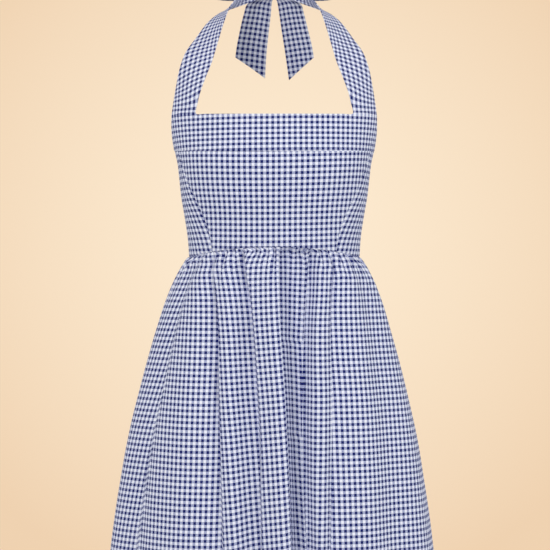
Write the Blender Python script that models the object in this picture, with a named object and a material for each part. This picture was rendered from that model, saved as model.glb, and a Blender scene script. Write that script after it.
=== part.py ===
"""A halter mini dress of checked cotton: a plain bodice, a gathered skirt and a bow at the nape.

The dress hangs by its neck loop, so the origin is the place where the loop bears on the nape.
+Z is up and the front faces -Y. Lengths are in metres, and the tables hold millimetres and degrees.
Every cut piece is a thin wall of cloth, made from the same body form as its neighbours.
Angles round the body start at the centre front and grow towards +X.
"""

import math
from typing import NamedTuple

import bpy
import numpy as np

MM = 0.001

# Driving dimensions
BODY_Y = -70 * MM
CLOTH = 1.2 * MM
YOKE_CLOTH = 1.8 * MM
YOKE_PROUD = 0.6 * MM
SEAM = 0.3 * MM
TORSO_RADIUS = 120 * MM
WAIST_RADIUS = 90 * MM
HEM_RADIUS = 180 * MM
HEM_Z = -895 * MM
WAIST_SIDE_Z = -424.5 * MM
WAIST_FRONT_RISE = 14 * MM
NECKLINE_Z = -218 * MM
NECKLINE_SIDE_RISE = 6 * MM
BAND_SEAM_SIDE_Z = -265.6 * MM
BAND_SEAM_FRONT_DROP = 7.5 * MM
UNDERARM_Z = -284 * MM
BACK_TOP_Z = -310 * MM
STRAP_INNER_DEG = 45.5
STRAP_OUTER_DEG = 73
BAND_END_DEG = 84
NECK_SHARE = 0.62
STRAP_BASE = 60 * MM
STRAP_CROWN = 1.6 * MM
GATHERS = 48
GATHER_RISE = 1.5
GATHER_FADE = 26
LONG_GATHERS = 23
LONG_GATHER_RISE = 1.1
LONG_GATHER_FADE = 95
TIE_WIDTH = 47 * MM
ZIP_BOTTOM_Z = -558 * MM
ZIP_TAPE = 0.8 * MM
ZIP_HALF_WIDTH = 11 * MM
ZIP_CLEAR = 0.45 * MM
ZIP_WAIST_CLEAR = 0.9 * MM
ZIP_SKIRT_CLEAR = 0.75 * MM
BACK_RADIUS = 160 * MM

COTTON = (0.36, 0.41, 0.60, 1.0)
COTTON_SHADE = (0.22, 0.27, 0.46, 1.0)
TAPE_BLUE = (0.05, 0.06, 0.20, 1.0)
ZIP_METAL = (0.10, 0.11, 0.22, 1.0)


class Ring(NamedTuple):
    """A level of the body form: half width, depth before and behind its axis, and squareness."""

    level: float
    half_width: float
    front: float
    back: float
    square: float


# The level is the height, from the waist seam up to the neckline.
TORSO = (
    Ring(-440, 126.5, 94, 86, 0.04),
    Ring(-424, 127.5, 95, 86, 0.04),
    Ring(-395, 129.5, 98, 87, 0.05),
    Ring(-365, 134, 103, 88.5, 0.07),
    Ring(-335, 139, 110, 90.5, 0.10),
    Ring(-305, 142.5, 115.5, 92, 0.13),
    Ring(-285, 145, 116.5, 92.5, 0.14),
    Ring(-265, 149.5, 112, 92, 0.12),
    Ring(-240, 154.5, 102, 91, 0.08),
    Ring(-212, 158, 93, 90, 0.05),
    Ring(-200, 159, 90, 90, 0.05),
)

# The level is the drop below the waist seam.
SKIRT = (
    Ring(0, 128.2, 95.6, 86.8, 0.04),
    Ring(12, 137, 102, 94, 0.04),
    Ring(30, 147, 109, 102, 0.04),
    Ring(61, 160, 118, 113, 0.03),
    Ring(115, 177, 129, 127, 0.03),
    Ring(187, 196, 142, 141, 0.02),
    Ring(259, 213, 154, 154, 0.02),
    Ring(331, 226, 164, 165, 0.01),
    Ring(403, 236.5, 171, 173, 0.0),
    Ring(475, 245, 177, 180, 0.0),
)


class Fold(NamedTuple):
    """A fold of the skirt: its angle at waist and hem, its rise at three levels, and its reach."""

    waist_deg: float
    hem_deg: float
    waist_rise: float
    middle_rise: float
    hem_rise: float
    waist_reach: float
    hem_reach: float


FOLDS = {
    "front_ridge": Fold(-4.7, 4.2, 5, 9, 12, 9, 21),
    "front_valley": Fold(8.6, 8.6, -6, -11, -15, 7, 12),
    "right_ridge": Fold(25.3, 15.6, 4, 7, 6, 12, 17),
    "right_slit": Fold(39, 18.9, -4, -5, -6, 7, 10),
    "right_swell": Fold(52, 33, 2, 4, 5, 14, 34),
    "right_dip": Fold(62, 46, -2, -3, -5, 12, 26),
    "right_flank": Fold(77, 63, 3, 5, 7, 14, 34),
    "left_hollow": Fold(-20.5, -7, -5, -9, -11, 12, 24),
    "left_ridge": Fold(-30, -12.8, 3, 5, 7, 10, 16),
    "left_pleat": Fold(-41, -17.5, -4, -5, -5, 7, 11),
    "left_panel": Fold(-49, -33, 2, 5, 6, 12, 38),
    "left_side_valley": Fold(-58, -58, -4, -6, -7, 9, 24),
    "left_flank": Fold(-76, -76, 2, 6, 8, 12, 28),
    "right_seam_valley": Fold(95, 92, -3, -6, -8, 12, 26),
    "right_back_flank": Fold(110, 107, 3, 7, 10, 12, 28),
    "right_back_valley": Fold(124, 122, -4, -8, -11, 9, 24),
    "right_back_ridge": Fold(139, 137, 3, 7, 11, 11, 26),
    "right_back_slit": Fold(151, 152, -4, -7, -9, 7, 15),
    "right_back_swell": Fold(164, 165, 2, 4, 7, 12, 26),
    "left_back_swell": Fold(196, 194, 2, 5, 8, 10, 22),
    "left_back_slit": Fold(208, 206, -4, -8, -11, 7, 18),
    "left_back_ridge": Fold(221, 221, 3, 6, 9, 12, 28),
    "left_back_valley": Fold(236, 238, -3, -7, -9, 10, 26),
    "left_back_flank": Fold(252, 255, 3, 6, 8, 12, 28),
}


class StrapEdge(NamedTuple):
    """A section of the right strap: its inner (throat) edge and its outer (shoulder) edge."""

    inner: tuple
    outer: tuple


STRAP = (
    StrapEdge((109.5, -128, -184), (146.6, -96, -173)),
    StrapEdge((101.7, -123, -161.5), (141.4, -96, -146.6)),
    StrapEdge((92.4, -116, -137), (132.7, -91, -120.7)),
    StrapEdge((86.3, -107, -114), (118, -73, -96)),
    StrapEdge((79.8, -94, -88.4), (100.5, -53, -69)),
    StrapEdge((75.1, -78, -69.7), (86.3, -33, -54)),
    StrapEdge((71.5, -62, -55.3), (72.5, -16, -45)),
    StrapEdge((66.5, -47, -43), (57.2, -4, -37.5)),
    StrapEdge((58.5, -31, -30), (42.7, 4, -31)),
    StrapEdge((43, -13, -11), (28, 9.5, -24)),
    StrapEdge((26, 2.5, 4), (20, 11.5, -15)),
    StrapEdge((14.4, 10, 9), (14.4, 12.5, -9)),
)


class TailRow(NamedTuple):
    """A level of a tail: distance and height of its edge near the middle, then of its far edge."""

    near_x: float
    near_z: float
    far_x: float
    far_z: float
    behind: float
    cup: float


RIGHT_TAIL = (
    TailRow(0.4, -19.8, 15, -19.6, 13.8, 0.8),
    TailRow(4.8, -28, 40, -27.5, 25, 3.5),
    TailRow(8.0, -48, 46.5, -45, 24, 4.0),
    TailRow(12.0, -76, 52.5, -70, 21, 3.0),
    TailRow(17.0, -108, 58.5, -95, 19, 2.5),
    TailRow(22.7, -149, 61.4, -113, 18, 2.5),
)
LEFT_TAIL = (
    TailRow(0.4, -19.8, 15, -19.6, 13.8, 0.8),
    TailRow(3.9, -28, 40.5, -27.5, 25, 3.5),
    TailRow(5.7, -48, 47.6, -45, 24, 4.0),
    TailRow(8.9, -76, 53.4, -70, 21, 3.0),
    TailRow(12.2, -108, 58.2, -95, 19, 2.5),
    TailRow(14.4, -146, 60.6, -113, 18, 2.5),
)

KNOT_CENTRE = (0, 14 * MM, 0)
KNOT_HALF = (14 * MM, 13 * MM, 18.5 * MM)
LOOP_ROOT = 14
LOOP_BEHIND = 19.5
LOOP_LENGTH = 82
LOOP_DEPTH = 12
LOOP_ROOT_HALF = 8.5
LOOP_WIDEST = 0.42
LOOP_END_NARROWING = 0.1


def curve(stations, values):
    """A smooth curve through the values at rising stations, straight beyond both ends."""
    x = np.asarray(stations, float)
    y = np.asarray(values, float)
    slope = np.gradient(y, x)

    def at(place):
        place = np.asarray(place, float)
        i = np.clip(np.searchsorted(x, place) - 1, 0, len(x) - 2)
        step = x[i + 1] - x[i]
        part = (place - x[i]) / step
        s = np.clip(part, 0, 1)
        over = (part - s) * step
        smooth = (
            (1 + 2 * s) * (1 - s) ** 2 * y[i]
            + s * (1 - s) ** 2 * step * slope[i]
            + s * s * (3 - 2 * s) * y[i + 1]
            + s * s * (s - 1) * step * slope[i + 1]
        )
        return smooth + over * np.where(over < 0, slope[i], slope[i + 1])

    return at


def mix(a, b, part):
    """The value between a and b."""
    return a + (b - a) * part


def body_form(rings):
    """The function that gives x and y on the body at an angle and a level in millimetres."""
    levels = [ring.level for ring in rings]
    half_width = curve(levels, [ring.half_width for ring in rings])
    front = curve(levels, [ring.front for ring in rings])
    back = curve(levels, [ring.back for ring in rings])
    square = curve(levels, [ring.square for ring in rings])

    def at(angle, level):
        s, c = np.sin(angle), np.cos(angle)
        q = square(level)
        depth = np.where(c > 0, front(level), back(level))
        x = half_width(level) * s * (1 + q * c * c)
        y = -depth * c * (1 + q * s * s)
        return x * MM, BODY_Y + y * MM

    return at


torso_form = body_form(TORSO)
skirt_form = body_form(SKIRT)
skirt_half_width = curve([r.level for r in SKIRT], [r.half_width for r in SKIRT])


def torso_point(angle, z):
    """A point of the bodice, as an array whose last axis is x, y, z."""
    x, y = torso_form(angle, z / MM)
    return np.stack([x, y, z + 0 * x], axis=-1)


def waist_z(angle):
    """Height of the waist seam, which rises at the centre front."""
    c = np.maximum(np.cos(angle), 0)
    return WAIST_SIDE_Z + WAIST_FRONT_RISE * c * c


def band_seam_z(angle):
    """Height of the seam under the neck band."""
    return BAND_SEAM_SIDE_Z - BAND_SEAM_FRONT_DROP * np.cos(angle)


def princess_angle(z):
    """Angle of the seam that shapes the bust, from the band's end in to the waist."""
    heights = np.array([-424, -385, -355, -335, -310, -285, -262]) * MM
    return np.radians(curve(heights, [44, 46.5, 51, 56, 62.5, 68.5, 73])(z))


def armhole_angle(z):
    """Angle of the band's free end, between the strap and the side of the bodice."""
    bottom = BAND_SEAM_SIDE_Z
    part = (z - bottom) / (NECKLINE_Z + NECKLINE_SIDE_RISE - bottom)
    return np.radians(mix(BAND_END_DEG, STRAP_OUTER_DEG, part))


def side_top_z(angle):
    """Top edge of a side panel: the band seam, then the armhole down to the underarm."""
    past = np.clip((np.abs(angle) - math.radians(BAND_END_DEG)) / math.radians(6), 0, 1)
    return mix(band_seam_z(angle), UNDERARM_Z, past)


def back_top_z(angle):
    """Top edge of the back, from the underarm down to the centre back."""
    past = (np.abs(angle) - math.pi / 2) / (math.pi / 2)
    return mix(UNDERARM_Z, BACK_TOP_Z, np.sin(np.clip(past, -0.02, 1) * math.pi / 2))


def fold_rise(angle, part, drop, radius):
    """How far the folds and gathers carry the skirt out from its form, in millimetres."""
    grown = (skirt_half_width(drop) - SKIRT[0].half_width) / (
        SKIRT[-1].half_width - SKIRT[0].half_width
    )
    towards_hem = np.clip(grown, 0, 1) ** 0.75
    away = 1 - np.exp(-drop / 22)
    total = 0 * angle
    for fold in FOLDS.values():
        centre = np.radians(mix(fold.waist_deg, fold.hem_deg, towards_hem))
        gap = (angle - centre + math.pi) % (2 * math.pi) - math.pi
        reach = mix(fold.waist_reach, fold.hem_reach, part)
        levels = [fold.waist_rise, fold.middle_rise, fold.hem_rise]
        rise = curve([0, 0.42, 1], levels)(part)
        total = total + away * rise * np.exp(-((gap * radius / reach) ** 2))
    turn = angle + 0.06 * np.sin(5 * angle + 1.1) + 0.03 * np.sin(11 * angle)
    started = 0.3 + 0.7 * (1 - np.exp(-drop / 5))
    uneven = 0.75 + 0.25 * np.sin(7 * angle + 0.6)
    total = total + GATHER_RISE * uneven * started * np.exp(-drop / GATHER_FADE) * np.cos(
        GATHERS * turn
    )
    length = LONG_GATHER_FADE * (0.7 + 0.3 * np.sin(4 * angle + 2))
    total = total + LONG_GATHER_RISE * away * np.exp(-drop / length) * np.cos(
        LONG_GATHERS * turn + 0.8
    )
    from_zip = (np.abs(angle) - math.pi) * radius
    return total * (1 - 0.97 * np.exp(-((from_zip / 24) ** 4)))


def skirt_point(angle, part):
    """A point of the skirt, where part is 0 at the waist seam and 1 at the hem."""
    top = waist_z(angle) - SEAM / 2
    z = mix(top, HEM_Z, part)
    drop = (top - z) / MM
    turn = 1e-4
    x, y = skirt_form(angle, drop)
    ahead = np.stack(skirt_form(angle + turn, drop))
    behind = np.stack(skirt_form(angle - turn, drop))
    along = (ahead - behind) / (2 * turn)
    radius = np.hypot(along[0], along[1])
    rise = fold_rise(angle, part, drop, radius / MM) * MM
    return np.stack([x + rise * along[1] / radius, y - rise * along[0] / radius, z], -1)


def grid(surface, across, down):
    """Points and outward normals of surface(u, v), u running across and v running down."""
    u, v = np.meshgrid(across, down)
    step = 1e-4
    along_u = surface(u + step, v) - surface(u - step, v)
    along_v = surface(u, v + step) - surface(u, v - step)
    normal = np.cross(along_v, along_u)
    normal /= np.linalg.norm(normal, axis=-1, keepdims=True)
    return surface(u, v), normal


def grid_quads(numbers):
    """The four corners of each square of a grid of vertex numbers."""
    a, b = numbers[:-1, :-1], numbers[:-1, 1:]
    c, d = numbers[1:, 1:], numbers[1:, :-1]
    return np.stack([a, b, c, d], -1).reshape(-1, 4)


def free_edges(quads):
    """The directed edges that only one square uses."""
    edges = [(q[i], q[(i + 1) % 4]) for q in quads.tolist() for i in range(4)]
    both = set(edges)
    return [edge for edge in edges if (edge[1], edge[0]) not in both]


def finish(name, points, faces, colour, metallic=0.0, roughness=0.85):
    """Makes the named object, with its faces pointing out and its own material."""
    corners = [np.array([points[i] for i in face]) for face in faces]
    volume = sum(
        np.dot(c[0], np.cross(c[i], c[i + 1])) for c in corners for i in range(1, len(c) - 1)
    )
    if volume < 0:
        faces = [tuple(reversed(face)) for face in faces]
    mesh = bpy.data.meshes.new(name)
    mesh.from_pydata([tuple(p) for p in points], [], faces)
    mesh.shade_smooth()
    mesh.set_sharp_from_angle(angle=math.radians(40))
    piece = bpy.data.objects.new(name, mesh)
    bpy.context.scene.collection.objects.link(piece)
    material = bpy.data.materials.new(name)
    material.use_nodes = True
    shader = material.node_tree.nodes["Principled BSDF"]
    shader.inputs["Base Color"].default_value = colour
    shader.inputs["Metallic"].default_value = metallic
    shader.inputs["Roughness"].default_value = roughness
    mesh.materials.append(material)
    return piece


def wall(name, points, normals, quads, thickness=CLOTH, colour=COTTON, proud=0.0):
    """A closed wall of cloth whose outer face lies proud of the points, along their normals."""
    outer = points + normals * proud
    inner = outer - normals * thickness
    count = len(points)
    faces = [tuple(q) for q in quads.tolist()]
    faces += [tuple(count + i for i in reversed(q)) for q in quads.tolist()]
    faces += [(b, a, count + a, count + b) for a, b in free_edges(quads)]
    return finish(name, np.concatenate([outer, inner]), faces, colour)


def panel(name, surface, columns, rows, **looks):
    """A wall over the whole of surface(u, v), or at the given stations across and down."""
    across = np.linspace(0, 1, columns + 1) if np.isscalar(columns) else columns
    down = np.linspace(0, 1, rows + 1) if np.isscalar(rows) else rows
    points, normals = grid(surface, across, down)
    numbers = np.arange(points.shape[0] * points.shape[1]).reshape(points.shape[:2])
    return wall(name, points.reshape(-1, 3), normals.reshape(-1, 3), grid_quads(numbers), **looks)


def between(left, right, top, bottom):
    """The bodice surface between two seam lines, whose angles depend on height, and two edges."""

    def surface(u, v):
        angle = mix(left(UNDERARM_Z), right(UNDERARM_Z), u)
        for _ in range(6):
            z = mix(top(angle), bottom(angle), v)
            angle = mix(left(z), right(z), u)
        return torso_point(angle, z)

    return surface


def shifted(line, length):
    """A seam line moved round the body by a length."""
    return lambda z: line(z) + length / TORSO_RADIUS


def make_bodice():
    """The centre front, the two side fronts and the two backs."""
    half = SEAM / 2
    waist = lambda angle: waist_z(angle) + half
    under_band = lambda angle: band_seam_z(angle) - half
    princess_left = lambda z: -princess_angle(z)
    side_left = lambda z: -math.pi / 2 + 0 * z
    side_right = lambda z: math.pi / 2 + 0 * z
    centre_back = lambda z: math.pi + 0 * z
    other_side = lambda z: 3 * math.pi / 2 + 0 * z
    under_side_top = lambda angle: side_top_z(angle) - half
    back_top_left = lambda angle: back_top_z(2 * math.pi - angle)
    panel(
        "bodice_front",
        between(
            shifted(princess_left, half), shifted(princess_angle, -half), under_band, waist
        ),
        22,
        9,
    )
    panel(
        "side_front_right",
        between(shifted(princess_angle, half), shifted(side_right, -half), under_side_top, waist),
        8,
        9,
    )
    panel(
        "side_front_left",
        between(shifted(side_left, half), shifted(princess_left, -half), under_side_top, waist),
        8,
        9,
    )
    panel(
        "back_right",
        between(shifted(side_right, half), shifted(centre_back, -half), back_top_z, waist),
        12,
        6,
    )
    panel(
        "back_left",
        between(shifted(centre_back, half), shifted(other_side, -half), back_top_left, waist),
        12,
        6,
    )


def skirt_rows():
    """Stations down the skirt, close under the gathers and wide below."""
    return np.array([0, 0.016, 0.05, 0.105, 0.2, 0.36, 0.55, 0.77, 1.0])


def skirt_between(start, end, crowding):
    """The skirt between two angles, with its columns crowded towards the middle by a share."""
    trim = SEAM / 2

    def surface(u, v):
        w = 2 * u - 1
        w = mix(w, w**3, crowding)
        gap = trim / mix(WAIST_RADIUS, HEM_RADIUS, v)
        return skirt_point(mix(start + gap, end - gap, (w + 1) / 2), v)

    return surface


def make_skirt():
    """The front, and the two backs, which meet in a centre seam below the zip."""
    rows = skirt_rows()
    panel("skirt_front", skirt_between(-math.pi / 2, math.pi / 2, 0.2), 104, rows)
    panel("skirt_back_right", skirt_between(math.pi / 2, math.pi, 0.0), 42, rows)
    panel("skirt_back_left", skirt_between(math.pi, 3 * math.pi / 2, 0.0), 42, rows)


def band_surface(u, v):
    """The neck band, where u is 0 and 1 at its free ends and v is 0 at the neckline."""
    side = 2 * u - 1
    inner = math.radians(STRAP_INNER_DEG)
    out = np.abs(side)
    past = np.maximum(out - NECK_SHARE, 0) / (1 - NECK_SHARE)
    angle = np.minimum(out, NECK_SHARE) / NECK_SHARE * inner
    for _ in range(4):
        rise = NECKLINE_SIDE_RISE * np.clip(angle / math.radians(STRAP_OUTER_DEG), 0, 1.1) ** 2
        z = mix(NECKLINE_Z + rise, band_seam_z(angle) + SEAM / 2, v)
        angle = np.where(past > 0, mix(inner, armhole_angle(z), past), angle)
    return torso_point(np.sign(side) * angle, z)


def strap_grid(base, base_normals, rows):
    """Points and normals of the right strap beyond its base row on the band."""
    inner = np.array([base[0]] + [np.array(s.inner) * MM for s in STRAP])
    outer = np.array([base[-1]] + [np.array(s.outer) * MM for s in STRAP])
    centre = (inner + outer) / 2
    length = np.concatenate([[0], np.cumsum(np.linalg.norm(np.diff(centre, axis=0), axis=1))])
    stations = np.linspace(0, length[-1], rows + 1)
    edges = [
        np.stack([curve(length, edge[:, i])(stations) for i in range(3)], -1)
        for edge in (inner, outer)
    ]
    share = np.linspace(0, 1, len(base))[None, :, None]
    points = mix(edges[0][:, None], edges[1][:, None], share)
    bulge = base - mix(base[0], base[-1], share[0])
    fade = np.clip(1 - stations / STRAP_BASE, 0, 1)[:, None, None] ** 2
    travel = np.gradient(points, axis=0)
    across = np.gradient(points, axis=1)
    normals = np.cross(across, travel)
    normals /= np.linalg.norm(normals, axis=-1, keepdims=True)
    crown = STRAP_CROWN * 4 * share * (1 - share) * (1 - fade)
    points = points + bulge * fade + normals * crown
    travel, across = np.gradient(points, axis=0), np.gradient(points, axis=1)
    normals = np.cross(across, travel)
    normals /= np.linalg.norm(normals, axis=-1, keepdims=True)
    settle = np.clip(1 - 3 * stations / STRAP_BASE, 0, 1)[:, None, None]
    normals = mix(normals, base_normals[None], settle)
    normals /= np.linalg.norm(normals, axis=-1, keepdims=True)
    return points[1:], normals[1:]


def make_yoke():
    """The neck band and both straps, which are cut in one with it."""
    columns, strap_columns, rows, strap_rows = 34, 6, 4, 24
    neck_columns = columns - 2 * strap_columns
    left = np.linspace(0, (1 - NECK_SHARE) / 2, strap_columns + 1)
    middle = np.linspace(left[-1], 1 - left[-1], neck_columns + 1)
    across = np.concatenate([left, middle[1:-1], 1 - left[::-1]])
    points, normals = grid(band_surface, across, np.linspace(0, 1, rows + 1))
    points = points + normals * YOKE_PROUD
    numbers = np.arange(points.shape[0] * points.shape[1]).reshape(points.shape[:2])
    all_points, all_normals = [points.reshape(-1, 3)], [normals.reshape(-1, 3)]
    quads = [grid_quads(numbers)]
    flip = np.array([-1, 1, 1])
    strap_points, strap_normals = strap_grid(
        points[0, -strap_columns - 1 :], normals[0, -strap_columns - 1 :], strap_rows
    )
    count = numbers.size
    for side, base in (
        (np.array([1, 1, 1]), numbers[0, -strap_columns - 1 :]),
        (flip, numbers[0, strap_columns::-1]),
    ):
        fresh = count + np.arange(strap_rows * (strap_columns + 1)).reshape(strap_rows, -1)
        count += fresh.size
        all_points.append((strap_points * side).reshape(-1, 3))
        all_normals.append((strap_normals * side).reshape(-1, 3))
        ladder = np.concatenate([base[None], fresh])
        squares = grid_quads(ladder)
        quads.append(squares[:, ::-1] if side[0] > 0 else squares)
    wall(
        "halter_yoke",
        np.concatenate(all_points),
        np.concatenate(all_normals),
        np.concatenate(quads),
        thickness=YOKE_CLOTH,
    )


def make_knot():
    """The knot at the nape, a wrapped lump with two soft creases across it."""
    turns, levels = 18, 9
    points = [np.array([0, 0, 1.0])]
    for level in range(1, levels):
        polar = math.pi * level / levels
        for k in range(turns):
            around = 2 * math.pi * k / turns
            ball = np.array(
                [
                    math.sin(polar) * math.cos(around),
                    math.sin(polar) * math.sin(around),
                    math.cos(polar),
                ]
            )
            boxed = np.sign(ball) * np.abs(ball) ** 0.88
            crease = 1 - 0.05 * math.exp(-((ball[0] * 2.6 + ball[2] * 1.2) ** 2) * 6)
            points.append(boxed * crease)
    points.append(np.array([0, 0, -1.0]))
    placed = np.array(points) * KNOT_HALF + KNOT_CENTRE
    faces = [(0, 1 + k, 1 + (k + 1) % turns) for k in range(turns)]
    for level in range(levels - 2):
        first = 1 + level * turns
        for k in range(turns):
            after = (k + 1) % turns
            faces.append((first + k, first + turns + k, first + turns + after, first + after))
    last = len(points) - 1
    first = last - turns
    faces += [(last, first + (k + 1) % turns, first + k) for k in range(turns)]
    finish("tie_knot", placed, faces, COTTON_SHADE)


def loop_surface(side):
    """A bow loop, a band turned back on itself and gathered into the knot."""

    def surface(u, v):
        u = u if side > 0 else 1 - u
        turn = 2 * math.pi * mix(0.065, 0.935, u)
        out = (1 - np.cos(turn)) / 2
        x = LOOP_ROOT + LOOP_LENGTH * (out - 0.04) / 0.96
        open_by = LOOP_DEPTH * np.sin(turn) * (0.42 + 0.58 * out)
        half = mix(LOOP_ROOT_HALF, TIE_WIDTH / MM / 2, np.clip(out / LOOP_WIDEST, 0, 1) ** 0.7)
        half = half * (1 - LOOP_END_NARROWING * np.clip((out - 0.7) / 0.3, 0, 1) ** 2)
        pleat = 1.6 * np.cos(3 * math.pi * v) * np.exp(-((out / 0.22) ** 2))
        cup = 3 * (2 * v - 1) ** 2 * np.sin(math.pi * np.clip(out, 0, 1))
        y = LOOP_BEHIND + 2 * out - open_by + pleat * 0.6 + cup
        z = half * (1 - 2 * v) - 0.5
        return np.stack([side * x * MM, y * MM, z * MM], -1)

    return surface


def tail_surface(side):
    """A hanging end of the tie, cut on the slant."""
    table = RIGHT_TAIL if side > 0 else LEFT_TAIL
    rows = np.linspace(0, 1, len(table))
    read = {name: curve(rows, [getattr(row, name) for row in table]) for name in TailRow._fields}

    def surface(u, v):
        u = u if side > 0 else 1 - u
        x = mix(read["near_x"](v), read["far_x"](v), u)
        z = mix(read["near_z"](v), read["far_z"](v), u)
        bend = read["cup"](v) * (np.cos(math.pi * (u - 0.42) * 1.6) - 0.5)
        y = read["behind"](v) - bend
        return np.stack([side * x * MM, y * MM, z * MM], -1)

    return surface


def make_bow():
    """The knot, two loops and two tails."""
    make_knot()
    for word, side in (("right", 1), ("left", -1)):
        panel("bow_loop_" + word, loop_surface(side), 20, 5, colour=COTTON_SHADE)
        panel("tie_tail_" + word, tail_surface(side), 6, 10, colour=COTTON_SHADE)


def centre_back_y(z):
    """Outer face of the cloth at the centre back, on bodice or skirt."""
    angle = np.full(np.shape(z), math.pi)
    part = (waist_z(angle) - z) / (WAIST_SIDE_Z - HEM_Z)
    above = torso_point(angle, np.maximum(z, WAIST_SIDE_Z))[..., 1]
    below = skirt_point(angle, np.maximum(part, 0))[..., 1]
    return np.where(z > WAIST_SIDE_Z, above, below)


def zip_tape_surface(u, v):
    """The zip's tape, inside the centre back seam, from the top edge into the skirt."""
    z = mix(BACK_TOP_Z - 1.5 * MM, ZIP_BOTTOM_Z, v)
    step = 1.5 * MM
    slope = (centre_back_y(z - step) - centre_back_y(z + step)) / (2 * step)
    lean = np.sqrt(1 + slope**2)
    x = mix(ZIP_HALF_WIDTH, -ZIP_HALF_WIDTH, u)
    near_waist = ZIP_WAIST_CLEAR * np.exp(-(((z - WAIST_SIDE_Z) / (9 * MM)) ** 2))
    in_skirt = ZIP_SKIRT_CLEAR * np.clip((WAIST_SIDE_Z - z) / (12 * MM), 0, 1)
    inside = (CLOTH + ZIP_CLEAR) * lean + near_waist + in_skirt
    sag = x**2 / (2 * BACK_RADIUS)
    return np.stack([x, centre_back_y(z) - inside - sag, z], -1)


def block(name, low, high, colour=ZIP_METAL):
    """A box between two corners in metres."""
    points = [
        (x, y, z) for x in (low[0], high[0]) for y in (low[1], high[1]) for z in (low[2], high[2])
    ]
    faces = [(0, 1, 3, 2), (4, 6, 7, 5), (0, 4, 5, 1), (2, 3, 7, 6), (0, 2, 6, 4), (1, 5, 7, 3)]
    return finish(name, np.array(points), faces, colour, metallic=0.7, roughness=0.35)


def tube(name, centre, length, radius, hole=0.0, sides=12):
    """A round bar along X, or a tube where it has a hole."""
    turns = [2 * math.pi * (k + 0.5) / sides for k in range(sides)]
    rims = [radius, hole] if hole else [radius]
    points = [
        (centre[0] + end * length / 2, centre[1] + r * math.cos(t), centre[2] + r * math.sin(t))
        for end in (-1, 1)
        for r in rims
        for t in turns
    ]
    lap = [(k, (k + 1) % sides) for k in range(sides)]
    far = len(points) // 2
    faces = [(a, b, far + b, far + a) for a, b in lap]
    if hole:
        faces += [(sides + b, sides + a, far + sides + a, far + sides + b) for a, b in lap]
        faces += [(b, a, sides + a, sides + b) for a, b in lap]
        faces += [(far + a, far + b, far + sides + b, far + sides + a) for a, b in lap]
    else:
        faces += [tuple(range(sides))[::-1], tuple(range(far, far + sides))]
    return finish(name, np.array(points), faces, ZIP_METAL, metallic=0.7, roughness=0.35)


def unite(piece, others):
    """Joins other solids into a piece, and keeps them out of the render."""
    for other in others:
        join = piece.modifiers.new("join_" + other.name, "BOOLEAN")
        join.operation = "UNION"
        join.object = other
        other.hide_render = True
        other.display_type = "WIRE"
        other.parent = piece


def make_zip():
    """The tape behind the centre back seam, the slider over its top and the pull tab."""
    panel("zip_tape", zip_tape_surface, 2, 26, thickness=ZIP_TAPE, colour=TAPE_BLUE)
    top = BACK_TOP_Z
    face_y = float(centre_back_y(np.array(top - 2 * MM)))
    out = face_y + 0.4 * MM
    inside = face_y - CLOTH - ZIP_CLEAR - ZIP_TAPE - 0.6 * MM
    plate = 1.7 * MM
    over = top + 0.5 * MM
    slider = block(
        "zip_slider", (-3.2 * MM, out, top - 11 * MM), (3.2 * MM, out + plate, over + 1.4 * MM)
    )
    pin_y, pin_z = out + plate + 2.1 * MM, top - 3 * MM
    ears = [
        block(
            f"slider_ear_{word}",
            (middle - 0.6 * MM, out + plate - 0.5 * MM, pin_z - 1.2 * MM),
            (middle + 0.6 * MM, pin_y + 0.9 * MM, pin_z + 1.4 * MM),
        )
        for word, middle in (("left", -2.3 * MM), ("right", 2.3 * MM))
    ]
    bridge = block(
        "slider_bridge",
        (-2 * MM, inside - plate + 0.2 * MM, over),
        (2 * MM, out + 0.8 * MM, over + 1.2 * MM),
    )
    inner_plate = block(
        "slider_inner",
        (-3 * MM, inside - plate, top - 9 * MM),
        (3 * MM, inside, over + 1.3 * MM),
    )
    pin = tube("slider_pin", (0, pin_y, pin_z), 4.4 * MM, 0.6 * MM)
    unite(slider, [*ears, bridge, inner_plate, pin])
    eye_radius = 1.7 * MM
    tab = tube("zip_pull_tab", (0, pin_y, pin_z), 2.7 * MM, eye_radius, hole=0.95 * MM)
    leaf_top, leaf_bottom = pin_z - 1.3 * MM, pin_z - 19 * MM
    outline = [(1.1, 0.0), (1.6, 0.18), (2.6, 0.62), (2.9, 0.82), (2.2, 0.95), (0.9, 1.0)]
    half = [(x * MM, mix(leaf_top, leaf_bottom, part)) for x, part in outline]
    ring = half + [(-x, z) for x, z in reversed(half)]
    count = len(ring)
    points = [(x, pin_y + y, z) for y in (-0.6 * MM, 0.6 * MM) for x, z in ring]
    faces = [tuple(range(count)), tuple(range(2 * count - 1, count - 1, -1))]
    faces += [(k, count + k, count + (k + 1) % count, (k + 1) % count) for k in range(count)]
    leaf = finish("pull_leaf", np.array(points), faces, ZIP_METAL, metallic=0.7, roughness=0.35)
    unite(tab, [leaf])


def main():
    """Clears the scene and makes the whole dress."""
    for thing in list(bpy.data.objects):
        bpy.data.objects.remove(thing, do_unlink=True)
    make_yoke()
    make_bodice()
    make_skirt()
    make_bow()
    make_zip()


main()
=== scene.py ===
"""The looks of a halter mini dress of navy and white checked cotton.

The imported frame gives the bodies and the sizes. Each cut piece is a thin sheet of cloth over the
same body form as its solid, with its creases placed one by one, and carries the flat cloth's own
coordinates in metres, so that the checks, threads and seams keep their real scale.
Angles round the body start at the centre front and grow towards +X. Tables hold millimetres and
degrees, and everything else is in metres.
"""

import logging
import math
from dataclasses import dataclass, field
from enum import Enum
from typing import Callable, NamedTuple

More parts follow.
